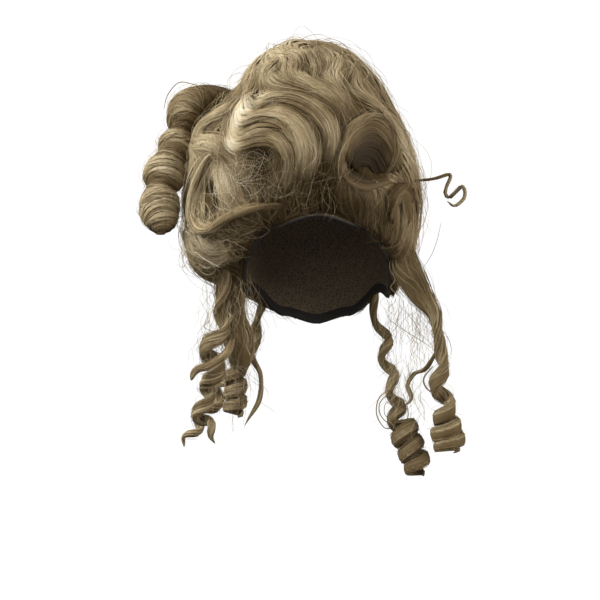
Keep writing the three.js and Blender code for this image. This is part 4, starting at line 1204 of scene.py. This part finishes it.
def nested_strands(parts, rings, count, rim_tone, hollow_shade_tone):
    """Flat bands of hair between nested rings, which sink from the first ring to the last, in painted shade
    that deepens towards the middle.
    """
    points = NEST["points"]
    lifts = np.array([[lift] for lift, _ in rings], float)
    rows = np.array([np.ravel(path) for _, path in rings], float)
    share = full_middle(points, .4)
    for depth in np.sort(rng.random(count)):
        path = catmull(rows, [depth])[0].reshape(-1, 2)
        between = np.linspace(rng.uniform(0, .1), rng.uniform(.9, 1), points)
        spots, normals = spots_on_front(catmull(path, between))
        lift = catmull(lifts, [depth])[0, 0]
        settle = 1 - NEST["settle"] * np.linspace(0, 1, points) ** 4 if lift > 0 else 1
        lift = lift * settle + rng.normal(0, NEST["stray"]) - NEST["sink"] * (1 - share)
        size = rng.uniform(*NEST["thick"]) * (.3 + .7 * share)
        # Painted shade deepening from the rim into the roll's hollow
        tone = rim_tone + (hollow_shade_tone - rim_tone) * depth + rng.normal(0, NEST["tone"])
        line = (spots + normals * lift[:, None])[None]
        add_strands(parts, line, size, NEST["flat"] * size, tone, normals[None])


def rolls(material):
    for name, (steps, *counts, tone, fade, root, nests) in ROLL_HAIR.items():
        parts = lock_parts(roll_lock(*ROLLS[name]), steps, ROLL_SIDES, *counts, tone, (fade, root))
        for nest, *kind in nests:
            nested_strands(parts, NESTS[nest], *kind)
        yield finish_lock(parts, name, material)


def hanging_locks(material):
    for name, rows in HANGING.items():
        turns = rows[-1][4] - rows[0][4]
        length = np.linalg.norm(np.diff(np.array(rows)[:, :3], axis=0), axis=1).sum()
        tight = max(row[3] for row in rows) > TIGHT_COIL
        points = (TIGHT_POINTS_A_TURN if tight else POINTS_A_TURN) * turns + length / POINT_SPACING
        points = int(points + LEAST_POINTS)
        girth = min(max(row[5] + row[6] for row in rows), LARGEST_GIRTH)
        counts = [int(least + more * girth) for least, more in HANGING_HAIR]
        # Painted shade on the locks that hang in shade
        tone = HANGING_TONE - SHADED_LOCKS.get(name, 0)
        # The hanging locks' roots are darkened as painted shade under the crown
        parts = lock_parts(coil_lock(rows), 3 * points, LOCK_SIDES, *counts, points, tone,
                           (HANGING_FADE, LOCK_ROOT_PAINTED_SHADE), spread=(.85, 1.14), drift=.6)
        yield finish_lock(parts, name, material)


def curl_frame(share):
    """Middle and two ways across of the fat curl, and the roundness of its ends."""
    path = np.array(FAT_CURL, float)[:, :3]
    tangent = heading(lambda at: catmull(path, at), share)
    wide = square_to(np.broadcast_to([0, 1.0, 0], tangent.shape), tangent)
    return catmull(path, share), wide, np.cross(tangent, wide), round_ends(share, FAT_CURL_END_POWER)


def curl_size(turn, share):
    """Radius of the fat curl: its lumps lean, so that each is higher in front than at the sides."""
    level = share - FAT_CURL_LEAN * np.cos(turn)
    radius = catmull(np.array(FAT_CURL, float)[:, 3:], level.ravel())[:, 0].reshape(level.shape)
    return radius * (1 - FAT_CURL_GROOVE * (1 + np.cos(turn - 2 * np.pi * FAT_CURL_TURNS * level)) / 2)


def curl_strands(parts, count, points, turns, thick, flat, spread, tone, sway):
    """Hair that winds round the fat curl in leaning turns."""
    each = (count, 1)
    turn = rng.uniform(0, 2 * np.pi, each)
    turn = turn + 2 * np.pi * rng.uniform(*turns, each) * np.linspace(0, 1, points)
    level = rng.uniform(-.04, 1, each) + (turn - turn[:, :1]) / (2 * np.pi * FAT_CURL_TURNS)
    level = level + sway * wavy(each, turn, (.4, 1.2))
    share = np.clip(level + FAT_CURL_LEAN * np.cos(turn), *CURL_ENDS)
    centre, wide, thin, end = in_rows(curl_frame(share.ravel()), count, points)
    taper = full_middle(points, .4)
    radius = curl_size(turn, share)
    size = end * radius * rng.uniform(*spread, each) * (.9 + .1 * taper)
    out = oval(wide, thin, 1, 1, turn)
    # Painted light on the lumps and painted shade in the notches between them
    swell = np.clip(radius - SWELL_FROM, *SWELL_SPAN)
    tones = tone + rng.normal(0, CURL_TONE, each) + SWELL_LIGHT_AND_SHADE * swell
    tones = tones - CURL_ROOT_TONE * np.clip(1 - share / CURL_ROOT, 0, 1)
    half = rng.uniform(*thick, each) * (.3 + .7 * taper)
    add_strands(parts, centre + out * size[..., None], half, half * flat, tones, out)


def fat_curl(material):
    parts = MeshParts()
    share = np.linspace(0, 1, CURL_ROWS)
    turn = whole_turn(CURL_SIDES)
    centre, wide, thin, end = curl_frame(share)
    size = end[:, None] * curl_size(*np.broadcast_arrays(turn, share[:, None])) * CURL_CORE
    rings = centre[:, None] + oval(wide[:, None], thin[:, None], size, size, turn)
    # The core's dark tone is painted shade between the strands
    tones = np.full((CURL_ROWS - 2, CURL_SIDES), CORE_SHADE_TONE)
    add_closed_grid(parts, rings[1:-1], centre[0], centre[-1], tones)
    for kind in CURL_HAIR:
        curl_strands(parts, *kind)
    return finish_lock(parts, "barrel_curl_left", material)


# Loose hair
LOOSE_POINTS = 26
LOOSE_TONE = .36
LOOSE_FACING = (.3, -1.0, .2)
CURTAIN = {"drift": 18, "sway": (1.5, 5.0), "ripples": (.12, .42), "flat": .6, "tone": (.55, .1)}
CURTAIN_FACING = (.2, -1.0, .1)


def loose_hairs(material):
    """Single hairs that stand clear of the locks."""
    parts = MeshParts()
    for radius, path in LOOSE_HAIRS.values():
        line = catmull(path, np.linspace(0, 1, LOOSE_POINTS))[None]
        size = radius * (.35 + .65 * full_middle(LOOSE_POINTS, .4))
        add_strands(parts, line, size, size, LOOSE_TONE, np.broadcast_to(LOOSE_FACING, line.shape))
    return parts.build("loose_hairs", material)


def curtain(parts, count, low, high, drop, points):
    """Fine crimped hairs that hang between two corners of a box, each from its own place."""
    start = rng.uniform(low, high, (count, 3))
    share = np.linspace(0, 1, points)
    each = (count, 1)
    fall = rng.uniform(*drop, each) * share
    way = rng.uniform(0, 2 * np.pi, each)
    swing = rng.normal(0, CURTAIN["drift"], each) * share
    swing = swing + rng.uniform(*CURTAIN["sway"], each) * wavy(each, fall, CURTAIN["ripples"])
    deep = CURTAIN["flat"] * swing
    line = start[:, None] + np.stack([swing * np.cos(way), deep * np.sin(way), -fall], -1)
    radius = thinned(FRIZZ, each, points)
    out = np.broadcast_to(CURTAIN_FACING, line.shape)
    add_strands(parts, line, radius, radius, rng.normal(*CURTAIN["tone"], each), out)


def loose_frizz(crown, material):
    """The nets on the front and the crimped hair that hangs between the ringlets."""
    parts = MeshParts()
    add_nets(parts, crown)
    for kind in CURTAINS.values():
        curtain(parts, *kind)
    return parts.build("loose_frizz", material)


# Cap and bound edge
CAP_SIDES = 128
CAP_ROWS = 28
TAPE_STEPS = 160
TAPE_SIDES = 12
TAPE_TONE = .2
TAPE_SHARE = .49
TAPE_SQUARENESS = (.35, .6)


def cap_shell(material):
    """The cap's net wall. Tone 0 marks its rim, which is dark."""
    parts = MeshParts()
    azimuth = np.linspace(-180, 180, CAP_SIDES, endpoint=False)
    depth = np.arccos(np.clip(1 + edge_height(azimuth) / HEAD[2], -1, 1))
    heights = [HEAD[2] * (np.cos(depth * k / CAP_ROWS) - 1) for k in range(1, CAP_ROWS + 1)]
    inside, outside = ([head_point(azimuth, z, offset) for z in heights] for offset in (0.0, CAP_WALL))
    rings = np.stack(inside + outside[::-1])
    tones = np.ones(rings.shape[:2])
    tones[CAP_ROWS - 1:CAP_ROWS + 1] = 0
    add_closed_grid(parts, rings, (0, 0, 0), (0, 0, CAP_WALL), tones)
    piece = parts.build("cap_net_shell", material)
    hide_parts("wig_cap")
    return piece


def edge_tape(material):
    """A tape with rounded edges, just inside the cap's rim."""
    parts = MeshParts()
    azimuth = np.linspace(-180, 180, TAPE_STEPS, endpoint=False)
    edge = edge_height(azimuth)
    turn = whole_turn(TAPE_SIDES)
    across, deep = (np.sign(way) * np.abs(way) ** power
                    for way, power in zip((np.cos(turn), np.sin(turn)), TAPE_SQUARENESS))
    levels = BAND_WIDTH * (.5 + TAPE_SHARE * across)
    offsets = BAND_THICKNESS / 2 * deep - PIECE_GAP - BAND_THICKNESS / 2
    ring = np.stack([head_point(azimuth, edge + level, offset) for level, offset in zip(levels, offsets)], 1)
    index = np.arange(TAPE_STEPS * TAPE_SIDES).reshape(TAPE_STEPS, TAPE_SIDES)
    u, v = cell_corners(TAPE_SIDES, TAPE_STEPS)
    parts.add(ring, TAPE_TONE, wall_quads(np.concatenate([index, index[:1]])), np.stack([v, u], -1))
    piece = parts.build("edge_tape_band", material)
    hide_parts("edge_band")
    return piece


# Stage, light and camera
FLOOR_Z = -.40
WALL_RADIUS = 4.0
WALL_TOP = 6.0
SWEEP = .6
SWEEP_STEPS = 16
STAGE_SIDES = 64
FACING_IN = [0, 3, 2, 1]
CAMERA_AT = (-.017, -1.6, -.128)
LENS = 96
SENSOR = 36
AIM = (-.01, 0, -.06)
WORLD_STRENGTH = .18

# Lights: place, size, power and colour. Each looks at the aim.
LIGHTS = {
    "window_left": ((-1.6, -1.0, 1.0), 1.0, 68, (.89, .95, 1)),
    "front_soft": ((-.4, -2.3, .9), 1.6, 16.5, (.95, .98, 1)),
    "fill_right": ((1.7, -.6, .2), 1.2, 24, (1, .99, .97)),
    "top_soft": ((-.3, .2, 1.9), 1.4, 15, (1, 1, 1)),
}


def studio_sweep():
    """A round pale floor that curves up into a wall."""
    bend = np.linspace(0, math.pi / 2, SWEEP_STEPS)
    radius = np.append(WALL_RADIUS - SWEEP + SWEEP * np.sin(bend), WALL_RADIUS)[:, None]
    height = np.append(FLOOR_Z + SWEEP - SWEEP * np.cos(bend), WALL_TOP)[:, None]
    turn = whole_turn(STAGE_SIDES)
    vertices = np.stack(np.broadcast_arrays(radius * np.cos(turn), radius * np.sin(turn), height), -1)
    index = np.arange(vertices.size // 3).reshape(-1, STAGE_SIDES)
    mesh = bpy.data.meshes.new("studio_sweep")
    faces = [index[0].tolist(), *wall_quads(index)[:, FACING_IN].tolist()]
    mesh.from_pydata(vertices.reshape(-1, 3).tolist(), [], faces)
    mesh.polygons.foreach_set("use_smooth", [True] * len(mesh.polygons))
    mesh.materials.append(stage_material())
    sweep = bpy.data.objects.new("studio_sweep", mesh)
    bpy.context.scene.collection.objects.link(sweep)
    sweep.visible_diffuse = False
    sweep.visible_glossy = False
    sweep.visible_shadow = False


def area_light(name, place, size, energy, colour):
    light = bpy.data.lights.new(name, "AREA")
    light.size = size
    light.energy = energy
    light.color = colour
    lamp = bpy.data.objects.new(name, light)
    lamp.location = place
    lamp.rotation_euler = (Vector(AIM) - Vector(place)).to_track_quat("-Z", "Y").to_euler()
    bpy.context.scene.collection.objects.link(lamp)


def studio_light():
    for name, row in LIGHTS.items():
        area_light(name, *row)
    world = bpy.data.worlds.new("studio_world")
    world.use_nodes = True
    background = world.node_tree.nodes["Background"]
    background.inputs["Color"].default_value = (1, 1, 1, 1)
    background.inputs["Strength"].default_value = WORLD_STRENGTH
    bpy.context.scene.world = world


def photo_camera():
    data = bpy.data.cameras.new("camera")
    data.lens = LENS
    data.sensor_width = SENSOR
    camera = bpy.data.objects.new("camera", data)
    camera.location = CAMERA_AT
    camera.rotation_euler = (math.pi / 2, 0, 0)
    bpy.context.scene.collection.objects.link(camera)
    bpy.context.scene.camera = camera


# Assembly
photo_camera()
studio_sweep()
studio_light()
bpy.context.scene.view_settings.view_transform = "Standard"

hair = hair_material()
crown = Crown()
hair_pieces = [crown_core(crown, hair), *crown_strands(crown, hair), *rolls(hair), fat_curl(hair),
               *hanging_locks(hair), loose_hairs(hair), loose_frizz(crown, hair)]
cap_shell(net_material())
edge_tape(tape_material())
